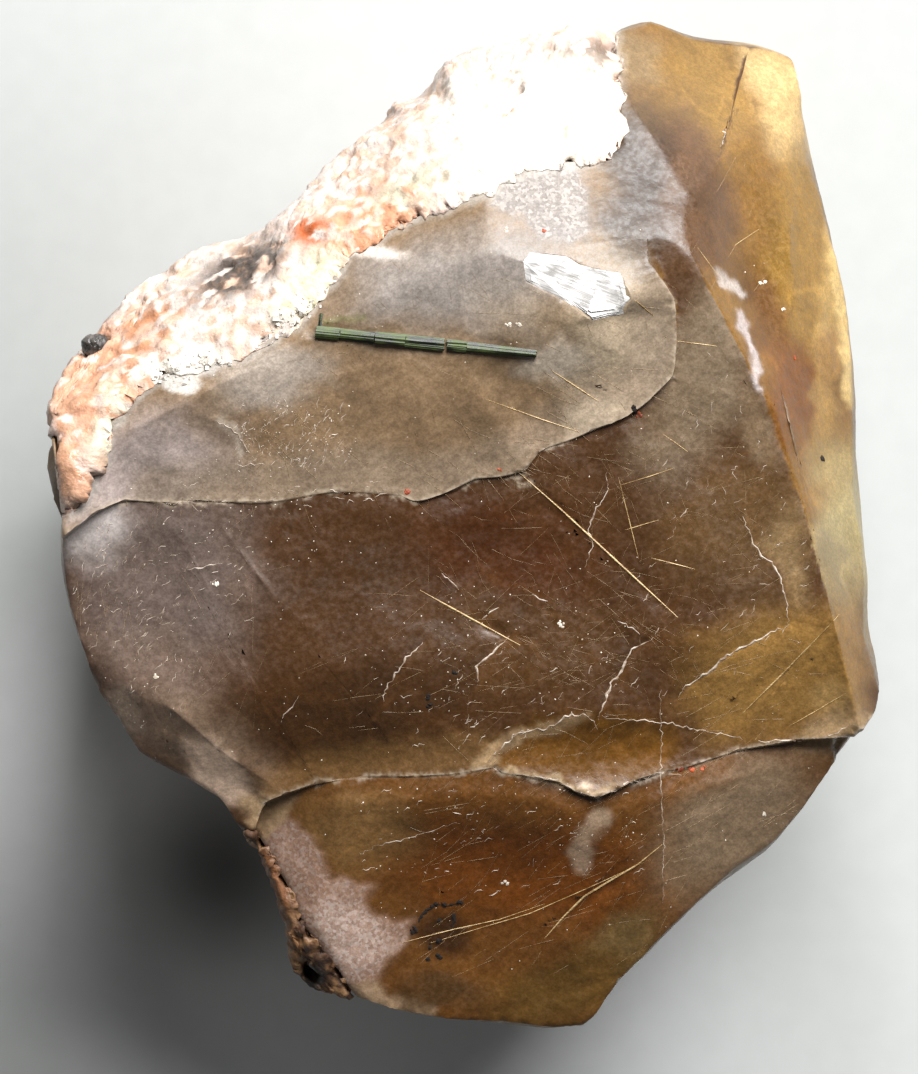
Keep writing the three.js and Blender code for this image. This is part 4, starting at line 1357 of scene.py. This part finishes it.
FELDSPAR_PATCHES = (
    Patch((-11, 12.4), (3.4, 1.5), "4a4039", 0.85, 28),
    Patch((6.4, 23.2), (2.8, 1.2), "6b5647", 0.8, 0),
    Patch((-4.5, 14.8), (4.2, 2.4), "c18664", 0.6, 25),
    Patch((-7.5, 14.4), (1.2, 0.9), "ad5424", 0.8),
    Patch((-17.5, 6.5), (4.2, 4.6), "c48f71", 0.7),
    Patch((-15.5, 9.5), (2.4, 1.4), "b9805b", 0.5, 30),
    Patch((3.1, 19.7), (5.6, 4.2), "f0eadc", 0.9, 20),
    Patch((-19.2, 3.6), (1.6, 4.2), "b98a6c", 0.5),
    Patch((-17.4, 4.2), (1.1, 3.2), "c9bfa9", 0.7),
    Patch((-14.4, 7.7), (3.2, 1.0), "dad5c8", 0.8, 10),
    Patch((-7.7, 11.6), (1.2, 2.8), "d6d0b0", 0.8, -40),
    Patch((-2.5, 16.5), (3.5, 1.0), "bdb29c", 0.6, 25),
)
LIMONITE_PATCHES = (
    Patch((-7.4, -22.9), (1.0, 1.2), "1c120b", 0.9),
    Patch((-9.2, -18.2), (1.2, 2.4), "734928", 0.6),
    Patch((-7.6, -20.6), (0.9, 2.2), "9b6e47", 0.5, -30),
)


@dataclass(frozen=True)
class Feldspar:
    """Weathered potash feldspar: white to peach, sugary, glassy only on its cleavages."""

    name: str = "weathered_feldspar"
    groove: str = "b98d6c"
    shine: float = 0.38
    clear: float = 0.12
    painted: bool = True

    def material(self) -> bpy.types.Material:
        """Makes the material."""
        tree, shader, _ = new_material(self.name)
        at = millimetres(tree)
        tone, edge = attribute(tree, "tone", "Color"), attribute(tree, "haze", "Fac")
        if not self.painted:
            tone, edge = add_node(tree, "ShaderNodeRGB").outputs[0], noise_of(tree, at, 0.9, 2)
            tone.default_value = (*linear("dcd5ca"), 1)
        mottled = ranged(tree, noise_of(tree, at, 0.5, 5), 0.3, 0.7, 0.82, 1.1)
        colour = blended(tree, 1.0, tone, mottled, "MULTIPLY")
        dirt = worked_out(tree, "MULTIPLY", edge, ranged(tree, noise_of(tree, at, 1.6), 0.4, 0.65))
        colour = blended(tree, worked_out(tree, "MULTIPLY", dirt, 0.35), colour, linear(self.groove))
        tree.links.new(colour, shader.inputs["Base Color"])
        rough = ranged(tree, noise_of(tree, at, 0.7, 3), 0.35, 0.65, self.shine - 0.12, self.shine + 0.3)
        tree.links.new(rough, shader.inputs["Roughness"])
        shader.inputs["IOR"].default_value = 1.53
        shader.inputs["Transmission Weight"].default_value = self.clear
        fine = noise_of(tree, at, 0.16, 4)
        tree.links.new(bumped(tree, ((fine, 0.05),)), shader.inputs["Normal"])
        return bpy.data.materials[self.name]


@dataclass(frozen=True)
class Limonite(Feldspar):
    """Limonite: brown earthy iron rust, crumbly and dull."""

    name: str = "crumbly_limonite"
    groove: str = "2a1a10"
    shine: float = 0.6
    clear: float = 0.0


@dataclass(frozen=True)
class Striated:
    """A mineral grown as long fibres: fine grooves along it, and a silky shine.

    Attributes:
        name: The material's name.
        dark: Its sRGB hex colour in the grooves.
        light: Its colour on the ridges.
        turn: The direction of the grooves in plan, in degrees.
        groove: Width of a groove in millimetres.
        roughness: Its roughness.
        metallic: How metallic it looks.
        depth: Depth of the grooves in millimetres.
    """

    name: str
    dark: str
    light: str
    turn: float = 0
    groove: float = 0.06
    roughness: float = 0.3
    metallic: float = 0
    depth: float = 0.03

    def material(self) -> bpy.types.Material:
        """Makes the material."""
        tree, shader, _ = new_material(self.name)
        scale = (1 / 2.5, 1 / self.groove, 1 / self.groove)
        fibres = noise_of(tree, millimetres(tree, -self.turn, scale), 1, 3)
        patches = noise_of(tree, millimetres(tree), 0.8, 3)
        share = ranged(tree, worked_out(tree, "MULTIPLY", fibres, patches), 0.14, 0.36)
        colour = blended(tree, share, linear(self.dark), linear(self.light))
        tree.links.new(colour, shader.inputs["Base Color"])
        rough = ranged(tree, patches, 0.3, 0.7, self.roughness, self.roughness + 0.18)
        tree.links.new(rough, shader.inputs["Roughness"])
        shader.inputs["Metallic"].default_value = self.metallic
        tree.links.new(bumped(tree, ((fibres, self.depth),)), shader.inputs["Normal"])
        return bpy.data.materials[self.name]


@dataclass
class ActinoliteNeedle:
    """The green needle: fibrous, broken across in places, and thinner at its far end."""

    line: tuple[Plan, Plan] = ((-7.2, 9.35), (3.75, 8.25))
    radius: float = 0.33
    lift: float = 0.1
    breaks: tuple[float, ...] = (0, 0.11, 0.27, 0.41, 0.585, 0.69, 1)
    wide_break: float = 0.585
    fibres: int = 11
    stub: tuple[Plan, Plan] = ((-7.0, 9.2), (-6.88, 10.2))
    stub_radius: float = 0.13

    def build(self, ground: Ground, material: bpy.types.Material) -> bpy.types.Object:
        """Makes the needle and its stub.

        Args:
            ground: The surface it lies in.
            material: The green fibrous finish.

        Returns:
            The piece.
        """
        bm = bmesh.new()
        (x0, y0), (x1, y1) = self.line
        ends = [ground.over(place)[0] for place in self.line]
        up = Vector((0, 0, 1))
        along = (ends[1] - ends[0]).normalized()
        across = along.cross(up).normalized()
        for low, high in zip(self.breaks[:-1], self.breaks[1:]):
            gap = 0.012 if low == self.wide_break else 0.002
            for k in range(self.fibres):
                turn = math.tau * k / self.fibres + random.uniform(-0.2, 0.2)
                aside = self.radius * 0.68 * random.uniform(0.75, 1.1) * (k > 0)
                offset = (across * math.cos(turn) + up * math.sin(turn)) * aside * MM
                shares = (low + gap + random.uniform(0, 0.006), high - random.uniform(0, 0.006))
                places, radii = [], []
                for share in shares:
                    thin = 1 - 0.4 * max(0, (share - 0.8) / 0.2)
                    wander = across * random.uniform(-0.015, 0.015) * MM
                    at = ends[0].lerp(ends[1], share) + up * self.lift * MM
                    places.append(at + offset * thin + wander)
                    radii.append(self.radius * 0.42 * thin * random.uniform(0.8, 1.1))
                rod(bm, *places, up, (radii[0], radii[1]), 6)
        stub = [ground.over(place, 0.06)[0] for place in self.stub]
        rod(bm, *stub, up, (self.stub_radius, self.stub_radius * 0.7), 7)
        rod(bm, stub[0] + Vector((0.2, 0, 0)) * MM, stub[1] + Vector((0.12, -0.35, 0)) * MM,
            up, (self.stub_radius * 0.6, self.stub_radius * 0.4), 6)
        piece = new_piece("green_needle", bm, [material])
        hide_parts("actinolite_needle")
        return piece


@dataclass
class MicaFlake:
    """The mica flake: thin sheets stepped over each other."""

    outline: tuple[Plan, ...] = (
        (3.55, 13.25), (3.25, 12.8), (3.35, 11.9), (4.2, 11.45), (5.5, 10.75), (6.6, 9.95),
        (7.4, 10.15), (8.05, 10.25), (8.35, 11.0), (8.05, 11.8), (7.9, 12.25), (6.6, 12.45),
        (5.9, 12.65), (5.3, 13.05),
    )
    middle: Plan = (5.8, 11.6)
    sheet: float = 0.045
    cuts: tuple[tuple[Plan, Plan], ...] = (
        ((0, 0), (0, 0)),
        ((7.6, 11), (1, 0.25)),
        ((6.5, 12.3), (0.35, 1)),
        ((6.6, 11.2), (1, -0.3)),
        ((5.4, 12.0), (0.2, 1)),
        ((4.9, 11.8), (1, 0.1)),
    )

    def build(self, ground: Ground, material: bpy.types.Material) -> bpy.types.Object:
        """Makes the flake.

        Args:
            ground: The surface it lies in.
            material: The silvery finish.

        Returns:
            The piece.
        """
        bm = bmesh.new()
        for i, (through, facing) in enumerate(self.cuts):
            layer = bmesh.new()
            shrink = 1.03 - 0.05 * i
            corners = []
            for x, y in self.outline:
                place = tuple(m + (v - m) * shrink for m, v in zip(self.middle, (x, y)))
                corners.append(layer.verts.new(ground.over(place, -0.05 + self.sheet * i)[0]))
            face = layer.faces.new(corners)
            top = bmesh.ops.extrude_face_region(layer, geom=[face])["geom"]
            rise = [item for item in top if isinstance(item, bmesh.types.BMVert)]
            bmesh.ops.translate(layer, verts=rise, vec=Vector((0, 0, self.sheet * 1.6 * MM)))
            if i:
                bmesh.ops.bisect_plane(
                    layer, geom=[*layer.verts, *layer.edges, *layer.faces],
                    plane_co=ground.place(through, 28), plane_no=Vector((*facing, 0)),
                    clear_outer=True,
                )
                rim = [edge for edge in layer.edges if edge.is_boundary]
                bmesh.ops.holes_fill(layer, edges=rim)
            bmesh.ops.recalc_face_normals(layer, faces=layer.faces)
            mesh = bpy.data.meshes.new("sheet")
            layer.to_mesh(mesh)
            layer.free()
            bm.from_mesh(mesh)
            bpy.data.meshes.remove(mesh)
        piece = new_piece("mica_sheets", bm, [material])
        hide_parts("mica_flake")
        return piece


class Side(Enum):
    """Which way a field of hairs runs in plan, in degrees."""

    DOWN_RIGHT = -42
    UP_RIGHT = 38
    STEEP = 72
    LEVEL = 8


@dataclass
class RutileHairs:
    """Golden rutile: five stout needles, two dozen fine ones, and hundreds of hairs."""

    stout: dict[str, tuple[tuple[Plan, ...], float]] = field(default_factory=lambda: {
        "rutile_needle_1": (((2.95, 2.35), (5, 0.55), (7, -1.3), (9, -3.15), (10.85, -4.85)), 0.055),
        "rutile_needle_2": (((-2, -3.5), (-0.95, -4.1), (0.15, -4.7), (1.6, -5.5), (3, -6.25)), 0.05),
        "rutile_needle_3": (((4.25, -21), (5.2, -19.9), (6.25, -18.85), (7.55, -18.05),
                             (8.9, -17.25), (10.1, -16.25)), 0.06),
        "rutile_needle_4": (((14.15, -9.65), (15.15, -8.65), (16.15, -7.65), (17.6, -6.1)), 0.045),
        "rutile_needle_5": (((4.6, 7.4), (6.9, 5.9)), 0.035),
    })
    fine: tuple[tuple[Plan, ...], ...] = (
        ((-1.5, -21.25), (1, -20.5), (3.5, -19.75), (5.75, -18.75), (7.6, -17.9), (9.5, -17)),
        ((-3, -21.25), (-0.5, -20.6), (2, -20.05), (4.25, -19.25)),
        ((11.85, 13.55), (12.45, 12.75), (13, 12)), ((13.75, 13.75), (15, 14.6)),
        ((10.8, 8.9), (12.8, 8.65)), ((8.35, 11.2), (9.65, 10.15)),
        ((1.15, 6.05), (2.55, 5.55), (3.95, 5.05), (5.9, 4.4)), ((10.15, 4.25), (11.35, 3.4)),
        ((8.05, 1.75), (9.4, 2.15), (10.7, 2.6)), ((8.25, -0.5), (9.9, 0)),
        ((9.55, -1.9), (11.7, -2.45)), ((7.9, 2.1), (8.4, 0.1), (8.9, -1.9)),
        ((16.5, -10.3), (17.9, -9.5), (19.3, -8.65)), ((17.05, -6.75), (18, -5.7), (18.95, -4.7)),
    )
    fields: tuple[tuple[Plan, Plan, int, Side], ...] = (
        ((6, -2), (8, 6), 90, Side.DOWN_RIGHT),
        ((10, -4), (8, 6), 80, Side.UP_RIGHT),
        ((2, -7), (10, 4), 60, Side.LEVEL),
        ((4, -18), (7, 5), 90, Side.UP_RIGHT),
        ((8, -13), (9, 3), 50, Side.UP_RIGHT),
        ((-15, -5), (5, 6), 60, Side.STEEP),
        ((0, 7), (11, 6), 80, Side.DOWN_RIGHT),
        ((14, 4), (5, 8), 40, Side.STEEP),
        ((14, 14), (3, 9), 30, Side.STEEP),
    )
    fine_radius: float = 0.024
    hair_radius: float = 0.008
    spread: float = 22

    def build(
        self, ground: Ground, gold: bpy.types.Material, pale: bpy.types.Material
    ) -> list[bpy.types.Object]:
        """Makes the needles and the hairs.

        Args:
            ground: The surface they lie on.
            gold: The finish of the stout and fine needles.
            pale: The finish of the hairs.

        Returns:
            The pieces.
        """
        pieces = []
        for node, (line, radius) in self.stout.items():
            bm = bmesh.new()
            lay_strand(bm, ground, line, radius, 0, 0.6, 6)
            pieces.append(new_piece(node.replace("rutile", "golden"), bm, [gold]))
            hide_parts(node)
        bm = bmesh.new()
        for line in self.fine:
            lay_strand(bm, ground, line, self.fine_radius, 0, 0.6)
        pieces.append(new_piece("fine_needles", bm, [gold]))
        bm = bmesh.new()
        for spot, size, count, side in self.fields:
            for _ in range(round(count * 1.3)):
                turn = math.radians(side.value + random.gauss(0, self.spread))
                length = random.uniform(0.7, 3.2)
                x = spot[0] + random.uniform(-1, 1) * size[0]
                y = spot[1] + random.uniform(-1, 1) * size[1]
                end = (x + math.cos(turn) * length, y + math.sin(turn) * length)
                bend = random.uniform(-0.1, 0.1)
                middle = ((x + end[0]) / 2 + bend, (y + end[1]) / 2 + bend)
                steep = [ground.over(place)[1].z < 0.55 for place in ((x, y), end)]
                if any(steep) or abs(x) > 20 or abs(end[1]) > 23:
                    continue
                lay_strand(bm, ground, ((x, y), middle, end), self.hair_radius, 0, 0.9, 3)
        pieces.append(new_piece("pale_hairs", bm, [pale]))
        return pieces


@dataclass
class Cracks:
    """Healed cracks, bright where they meet the surface.

    Attributes:
        lines: Each long crack's line in plan, and its radius in millimetres.
        flecks: The middle, half-widths, count and direction in degrees of the crowds of short ones.
    """

    lines: tuple[tuple[tuple[Plan, ...], float], ...] = (
        (((7.3, 2.4), (7.4, 1.5), (6.75, 0.45), (6.35, -0.4), (6.6, -1.3), (6.25, -2.4)), 0.03),
        (((14.1, 0.25), (14.65, -1.2), (15.85, -2.55), (16.3, -4.05), (16.4, -5.2)), 0.035),
        (((16.4, -5.2), (14.85, -6), (13.5, -6.65), (12.35, -7.65), (11.35, -8.3), (10.85, -8.8)), 0.05),
        (((9.65, -5.85), (8.55, -6.5), (8, -7.65), (7.55, -8.15), (7.25, -9), (6.9, -9.95)), 0.05),
        (((7.9, -5), (9.05, -5.7)), 0.035),
        (((-1.85, -6.1), (-2.65, -6.85), (-3, -7.4), (-3.75, -8.5), (-3.85, -9)), 0.045),
        (((1.95, -4.3), (1.05, -5)), 0.035),
        (((2.45, -5.85), (0.8, -7.35), (0.9, -8.15)), 0.045),
        (((-0.85, -2.7), (-0.1, -3.45)), 0.03),
        (((3.6, -3.7), (4.25, -4.05)), 0.03),
        (((-12.3, 4.95), (-11.3, 4.55), (-10.5, 3.45)), 0.04),
        (((-11.2, 2.75), (-9.7, 2.8)), 0.03),
        (((-13.8, -2.55), (-11.9, -2.15)), 0.035),
        (((1.8, -12.6), (3.6, -12.8), (4.75, -13), (5.9, -13.6), (6.9, -13.85), (7.75, -13.5),
          (8.55, -13.1), (10.05, -12.6), (11.05, -12.75)), 0.035),
        (((6.9, -9.8), (10.55, -10.2), (14.15, -10.95)), 0.03),
        (((14.85, -11.1), (18.15, -10.95), (19.8, -10.2)), 0.03),
        (((9.95, -8.5), (10.05, -11), (10.05, -13.1), (10.2, -16.4), (10.2, -19.2)), 0.02),
        (((-5, -16.75), (-4.1, -16.3), (-2.8, -16), (-0.05, -15.15)), 0.02),
        (((-8.95, -10), (-8.05, -8.85)), 0.02),
        (((1.35, -12.1), (2.8, -10.65), (4.25, -10.45), (5.25, -9.8), (6.25, -9.65), (6.9, -10.4)), 0.04),
    )

    flecks: tuple[tuple[Plan, Plan, int, float], ...] = (
        ((-17.2, -4), (2.4, 4.2), 90, 52), ((-13.5, -3.5), (3, 2.4), 40, 25), ((-8.6, 4.2), (2.8, 1.8), 110, 60),
        ((-15.5, -9), (2.6, 2), 30, 60), ((-9, 1.3), (5, 0.6), 30, 5), ((1, -9), (7, 2.5), 50, 40),
        ((13, -3), (5, 6), 50, 45), ((2, -16), (7, 3), 50, 30), ((14, 5), (3, 4), 24, 100),
    )

    def build(self, ground: Ground, material: bpy.types.Material) -> bpy.types.Object:
        """Makes the cracks.

        Args:
            ground: The surface they run along.
            material: The bright finish.

        Returns:
            The piece.
        """
        bm = bmesh.new()
        for line, radius in self.lines:
            lay_strand(bm, ground, line, radius * 0.8, 0, 0.2, 4, 0.5, 0.2, 0.85)
        for (x, y), (wide, high), count, lean in self.flecks:
            for _ in range(count):
                turn, length = math.radians(random.gauss(lean, 18)), random.uniform(0.12, 0.6)
                start = (x + random.uniform(-1, 1) * wide, y + random.uniform(-1, 1) * high)
                end = (start[0] + math.cos(turn) * length, start[1] + math.sin(turn) * length)
                if min(ground.over(place)[1].z for place in (start, end)) > 0.55:
                    lay_strand(bm, ground, (start, end), random.uniform(0.013, 0.03), 0, 0.15, 3, 0.5, 0.3, 0.8)
        return new_piece("healed_cracks", bm, [material])


@dataclass
class Specks:
    """Small crumbs on the faces: dark iron oxide, red rust and white flecks.

    Attributes:
        dark: Places of the dark ones in plan, in millimetres.
        ring: Lines that dark ones have grown along.
        red: Places of the red ones.
        white: Places of the white ones.
        scatter: How many more tiny white ones lie about.
        clusters: The middle, half-widths and count of the crowds of white ones.
    """

    dark: tuple[Plan, ...] = (
        (-0.05, -19.25), (-2.35, -20.7), (-2.25, -20.55), (-1.1, -20.1), (-1.07, -21.1),
        (-1.55, -21.4), (-1.67, -22.05), (-1.07, -22.0), (8.7, 5.3), (8.6, 5.6), (8.85, 5.45),
        (-0.3, -7.6), (-1.65, -8.75), (-1.5, -9.3), (18.2, 3.1),
    )
    ring: tuple[tuple[Plan, ...], ...] = (
        ((-2.1, -20.1), (-1.8, -19.7), (-1.45, -19.33), (-1.05, -19.25), (-0.7, -19.33), (-0.05, -19.25)),
        ((-0.35, -19.75), (-0.28, -20.25), (-0.45, -20.6)),
    )
    red: tuple[Plan, ...] = (
        (-2.75, 1.4), (2, 2.5), (11, -12.4), (11.6, -12.5), (12.15, -12.4), (16.8, 8.15),
        (8.9, 5.25), (7, 11.5), (4.15, 14.35), (-2.6, 1.5), (11.4, -12.35),
    )
    white: tuple[Plan, ...] = (
        (4.9, -5.1), (15.25, -14.75), (13.25, 19.55), (15.1, 11.9), (16.3, 10.55), (2.3, 14.4),
        (2.9, 9.7), (2.4, 9.65), (-12.2, -3.2), (-15.2, -7.8), (2.2, -18.2), (5.1, -5.3),
    )
    scatter: int = 380
    clusters: tuple[tuple[Plan, Plan, int], ...] = (
        ((-8, 4.3), (3.0, 1.4), 90), ((-11, 3.2), (2.6, 1.2), 25), ((-9.5, 0.7), (3.5, 0.3), 20),
        ((-2.5, -7), (3, 3), 40), ((3, -6), (5, 3), 40), ((1, -15.5), (6, 2.5), 60),
        ((-17, -8), (2, 4), 30), ((-11, -1), (4, 1.2), 30), ((7, -16), (2, 1.2), 30),
    )

    def crumb(
        self, bm: bmesh.types.BMesh, ground: Ground, spot: Plan, size: float, flat: float
    ) -> None:
        """Lays one crumb, an uneven flattened lump turned at random.

        Args:
            bm: The mesh that gets it.
            ground: The surface it lies on.
            spot: Its place in plan, in millimetres.
            size: Its radius.
            flat: Its height as a share of its radius.
        """
        point, up = ground.over(spot)
        turn = up.to_track_quat("Z", "Y").to_matrix().to_4x4()
        turn @= Matrix.Rotation(random.uniform(0, math.tau), 4, "Z")
        stretch = Matrix.Diagonal((size * random.uniform(0.7, 1.5) * MM, size * MM, size * flat * MM, 1))
        made = bmesh.ops.create_icosphere(
            bm, subdivisions=1, radius=1, matrix=Matrix.Translation(point) @ turn @ stretch
        )["verts"]
        for vert in made:
            vert.co += (vert.co - point) * random.uniform(-0.35, 0.3)

    def build(self, ground: Ground, finishes: dict[str, bpy.types.Material]) -> None:
        """Makes the crumbs.

        Args:
            ground: The surface they lie on.
            finishes: The finish of each kind, by the kind's name.
        """
        for name, places, size, flat in (
            ("dark", self.dark, 0.13, 0.5), ("red", self.red, 0.13, 0.4), ("white", self.white, 0.11, 0.35)
        ):
            bm = bmesh.new()
            for spot in places:
                for _ in range(4):
                    near = (spot[0] + random.gauss(0, 0.07), spot[1] + random.gauss(0, 0.06))
                    self.crumb(bm, ground, near, size * random.uniform(0.35, 1.0), flat)
            if name == "dark":
                for line in self.ring:
                    lay_strand(bm, ground, line, 0.07, 0, 0.13, 5, 0.5, 0.5, 0.9)
            if name == "white":
                for (x, y), (wide, high), count in (*self.clusters, ((0, -4), (19, 19), self.scatter)):
                    for _ in range(count):
                        spot = (x + random.uniform(-1, 1) * wide, y + random.uniform(-1, 1) * high)
                        if ground.over(spot)[1].z > 0.6:
                            self.crumb(bm, ground, spot, random.uniform(0.012, 0.04), 0.4)
            new_piece(f"{name}_crumbs", bm, [finishes[name]])


@dataclass
class MarginBlocks:
    """Small angular blocks of white quartz in the seam between the crust and the plate.

    Attributes:
        seams: Each seam's line in plan, how many blocks lie by it, and how far they spread.
        sizes: The smallest and the largest block, in millimetres.
    """

    seams: tuple[tuple[Sequence[Plan], int, float], ...] = (
        (((-15.2, 7.2), (-13.2, 7.8), (-11.4, 7.9)), 70, 0.3),
        (((-9.6, 9.6), (-8.2, 10.2), (-7.2, 10.9)), 50, 0.3),
    )
    sizes: tuple[float, float] = (0.08, 0.3)

    def build(self, ground: Ground, material: bpy.types.Material) -> None:
        """Makes the blocks.

        Args:
            ground: The surfaces they lie on.
            material: The white quartz.
        """
        bm = bmesh.new()
        for line, count, spread in self.seams:
            stops = sampled(line, 0.08)
            for _ in range(count):
                x, y = random.choice(stops)
                spot = (x + random.gauss(0, spread), y + random.gauss(0, spread))
                point, up = ground.over(spot, 0, True)
                if up.z < 0.3:
                    continue
                size = random.uniform(*self.sizes) * random.uniform(0.5, 1)
                turn = Matrix.Rotation(random.uniform(0, math.tau), 4, random.choice("XYZ"))
                turn @= Matrix.Rotation(random.uniform(0, 1.2), 4, random.choice("XY"))
                stretch = Matrix.Diagonal((*[size * MM * random.uniform(0.5, 1.3) for _ in "xyz"], 1))
                bmesh.ops.create_cube(bm, size=1, matrix=Matrix.Translation(point) @ turn @ stretch)
        new_piece("margin_blocks", bm, [material])


@dataclass(frozen=True)
class Studio:
    """The pale floor, the soft lights and the camera over the lump."""

    view_height: float = 53.7
    view_level: float = 24
    camera_height: float = 600
    aim: Plan = (-0.233, -0.626)
    sensor: float = 36
    # Painted shadow and painted light on the floor: each spot darkens or lightens it within its reach.
    painted_shadow_and_light: tuple[tuple[Plan, float, str], ...] = (
        ((-27, 6), 30, "959795"),
        ((-30, -33), 14, "6d6e6b"),
        ((-20, -13), 13, "e2e3e2"),
        ((-8, -27), 16, "dcdddc"),
        ((8, -26), 14, "d6d8d7"),
        # Painted contact shadow under the lump's overhang.
        ((-12.5, -17.8), 7, "666766"),
    )

    def floor(self) -> bpy.types.Object:
        """Makes the pale floor, with painted shadow and painted light laid over it round the lump.

        Returns:
            The floor.
        """
        bm = bmesh.new()
        bmesh.ops.create_grid(bm, x_segments=1, y_segments=1, size=1.5)
        mesh = bpy.data.meshes.new("floor")
        bm.to_mesh(mesh)
        bm.free()
        floor = bpy.data.objects.new("floor", mesh)
        bpy.context.scene.collection.objects.link(floor)
        tree, shader, _ = new_material("painted_board")
        at = millimetres(tree)
        colour = linear("abadab")
        # Paints each spot's shadow or light into the floor's colour.
        for middle, reach, painted_tone in self.painted_shadow_and_light:
            away = add_node(tree, "ShaderNodeVectorMath", {0: at, 1: (*middle, 0)}, operation="DISTANCE")
            share = ranged(tree, away.outputs["Value"], 0, reach, 1, 0)
            colour = blended(tree, share, colour, linear(painted_tone))
        grain = ranged(tree, noise_of(tree, at, 1.5, 4), 0.3, 0.7, 0.97, 1.0)
        colour = blended(tree, 1.0, colour, grain, "MULTIPLY")
        tree.links.new(colour, shader.inputs["Base Color"])
        shader.inputs["Roughness"].default_value = 0.7
        mesh.materials.append(bpy.data.materials["painted_board"])
        return floor

    def lamp(
        self, name: str, place: Sequence[float], size: float, power: float, colour: str
    ) -> None:
        """Adds a square soft light that shines on the lump.

        Args:
            name: The light's name.
            place: Its place in millimetres.
            size: Its side in millimetres.
            power: Its power in watts.
            colour: Its sRGB hex colour.
        """
        light = bpy.data.lights.new(name, "AREA")
        light.size, light.energy, light.color = size * MM, power, linear(colour)
        lamp = bpy.data.objects.new(name, light)
        lamp.location = Vector(place) * MM
        away = lamp.location - Vector((0, 0, 18)) * MM
        lamp.rotation_euler = away.to_track_quat("Z", "Y").to_euler()
        lamp.visible_camera = False
        bpy.context.scene.collection.objects.link(lamp)

    def camera(self) -> None:
        """Adds the camera, straight above the lump."""
        data = bpy.data.cameras.new("camera")
        data.sensor_width = self.sensor
        data.lens = self.sensor * (self.camera_height - self.view_level) / self.view_height
        data.clip_start, data.clip_end = 0.01, 10
        camera = bpy.data.objects.new("camera", data)
        camera.location = Vector((*self.aim, self.camera_height)) * MM
        bpy.context.scene.collection.objects.link(camera)
        bpy.context.scene.camera = camera

    def build(self) -> None:
        """Makes the whole studio."""
        self.floor()
        self.lamp("window", (140, 345, 330), 380, 8.7, "ffffff")
        world = bpy.data.worlds.new("room")
        world.use_nodes = True
        back = world.node_tree.nodes["Background"]
        back.inputs["Color"].default_value = (*linear("e9ecef"), 1)
        back.inputs["Strength"].default_value = 0.16
        scene = bpy.context.scene
        scene.world = world
        scene.view_settings.view_transform = "Standard"
        scene.cycles.max_bounces, scene.cycles.transmission_bounces = 7, 6
        scene.cycles.diffuse_bounces, scene.cycles.glossy_bounces = 3, 3
        scene.cycles.caustics_refractive = scene.cycles.caustics_reflective = False
        self.camera()


def main() -> None:
    """Builds the pieces in order, and the studio round them."""
    logging.basicConfig(level=logging.INFO, format="%(message)s")
    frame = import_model()
    random.seed(7)
    ground = Ground(drawing_shift())
    Studio().build()
    QuartzLump().build(frame, ground, RutilatedQuartz().material())
    feldspar, limonite = Feldspar().material(), Limonite().material()
    Crust(
        "feldspar_crust", "feldspar_grains", "feldspar", patches=FELDSPAR_PATCHES, seam=CONTACT
    ).build(frame, ground, feldspar)
    Crust(
        "limonite_crust", "limonite_crumbs", "limonite", sizes=(0.8, 0.34), lap_width=0.2,
        colours=("5b3c22", "452b17", "735232", "8a6643"), patches=LIMONITE_PATCHES,
        seam=RUST_SEAM,
    ).build(frame, ground, limonite)
    smoky = Feldspar("smoky_grain_quartz", "1c1a18", 0.3, 0.3)
    Crust(
        "smoky_grain", "dark_grain", "dark_quartz", 0.12, 0.12, (0.7, 0.3), (0.12, 0.05), 0.0,
        2, ("4b4642", "5d5650", "393531"),
    ).build(frame, ground, smoky.material())
    MarginBlocks().build(ground, Feldspar("white_quartz", "b3a99c", 0.3, 0.2, False).material())
    green = Striated("fibrous_actinolite", "0b1005", "465327", -5.7, 0.06, 0.4)
    ActinoliteNeedle().build(ground, green.material())
    silver = Striated("sheeted_mica", "8b8885", "c6c3c0", -22, 0.1, 0.3, 0, 0.02)
    MicaFlake().build(ground, silver.material())
    gold = Striated("golden_rutile", "86693f", "c4a978", 0, 0.05, 0.3, 0.1)
    pale = Striated("pale_rutile", "6f5a40", "a58d6e", 0, 0.05, 0.35, 0)
    RutileHairs().build(ground, gold.material(), pale.material())
    bright = Striated("healed_crack", "7d6a58", "bcaea0", 0, 0.2, 0.35, 0)
    Cracks().build(ground, bright.material())
    Specks().build(ground, {
        "dark": Striated("iron_oxide", "080402", "1a0e06", 0, 0.2, 0.95).material(),
        "red": Striated("red_rust", "5e1f08", "a8481c", 0, 0.2, 0.5).material(),
        "white": Striated("quartz_fleck", "a0927f", "d6ccbe", 0, 0.2, 0.2).material(),
    })


if __name__ == "__main__":
    main()
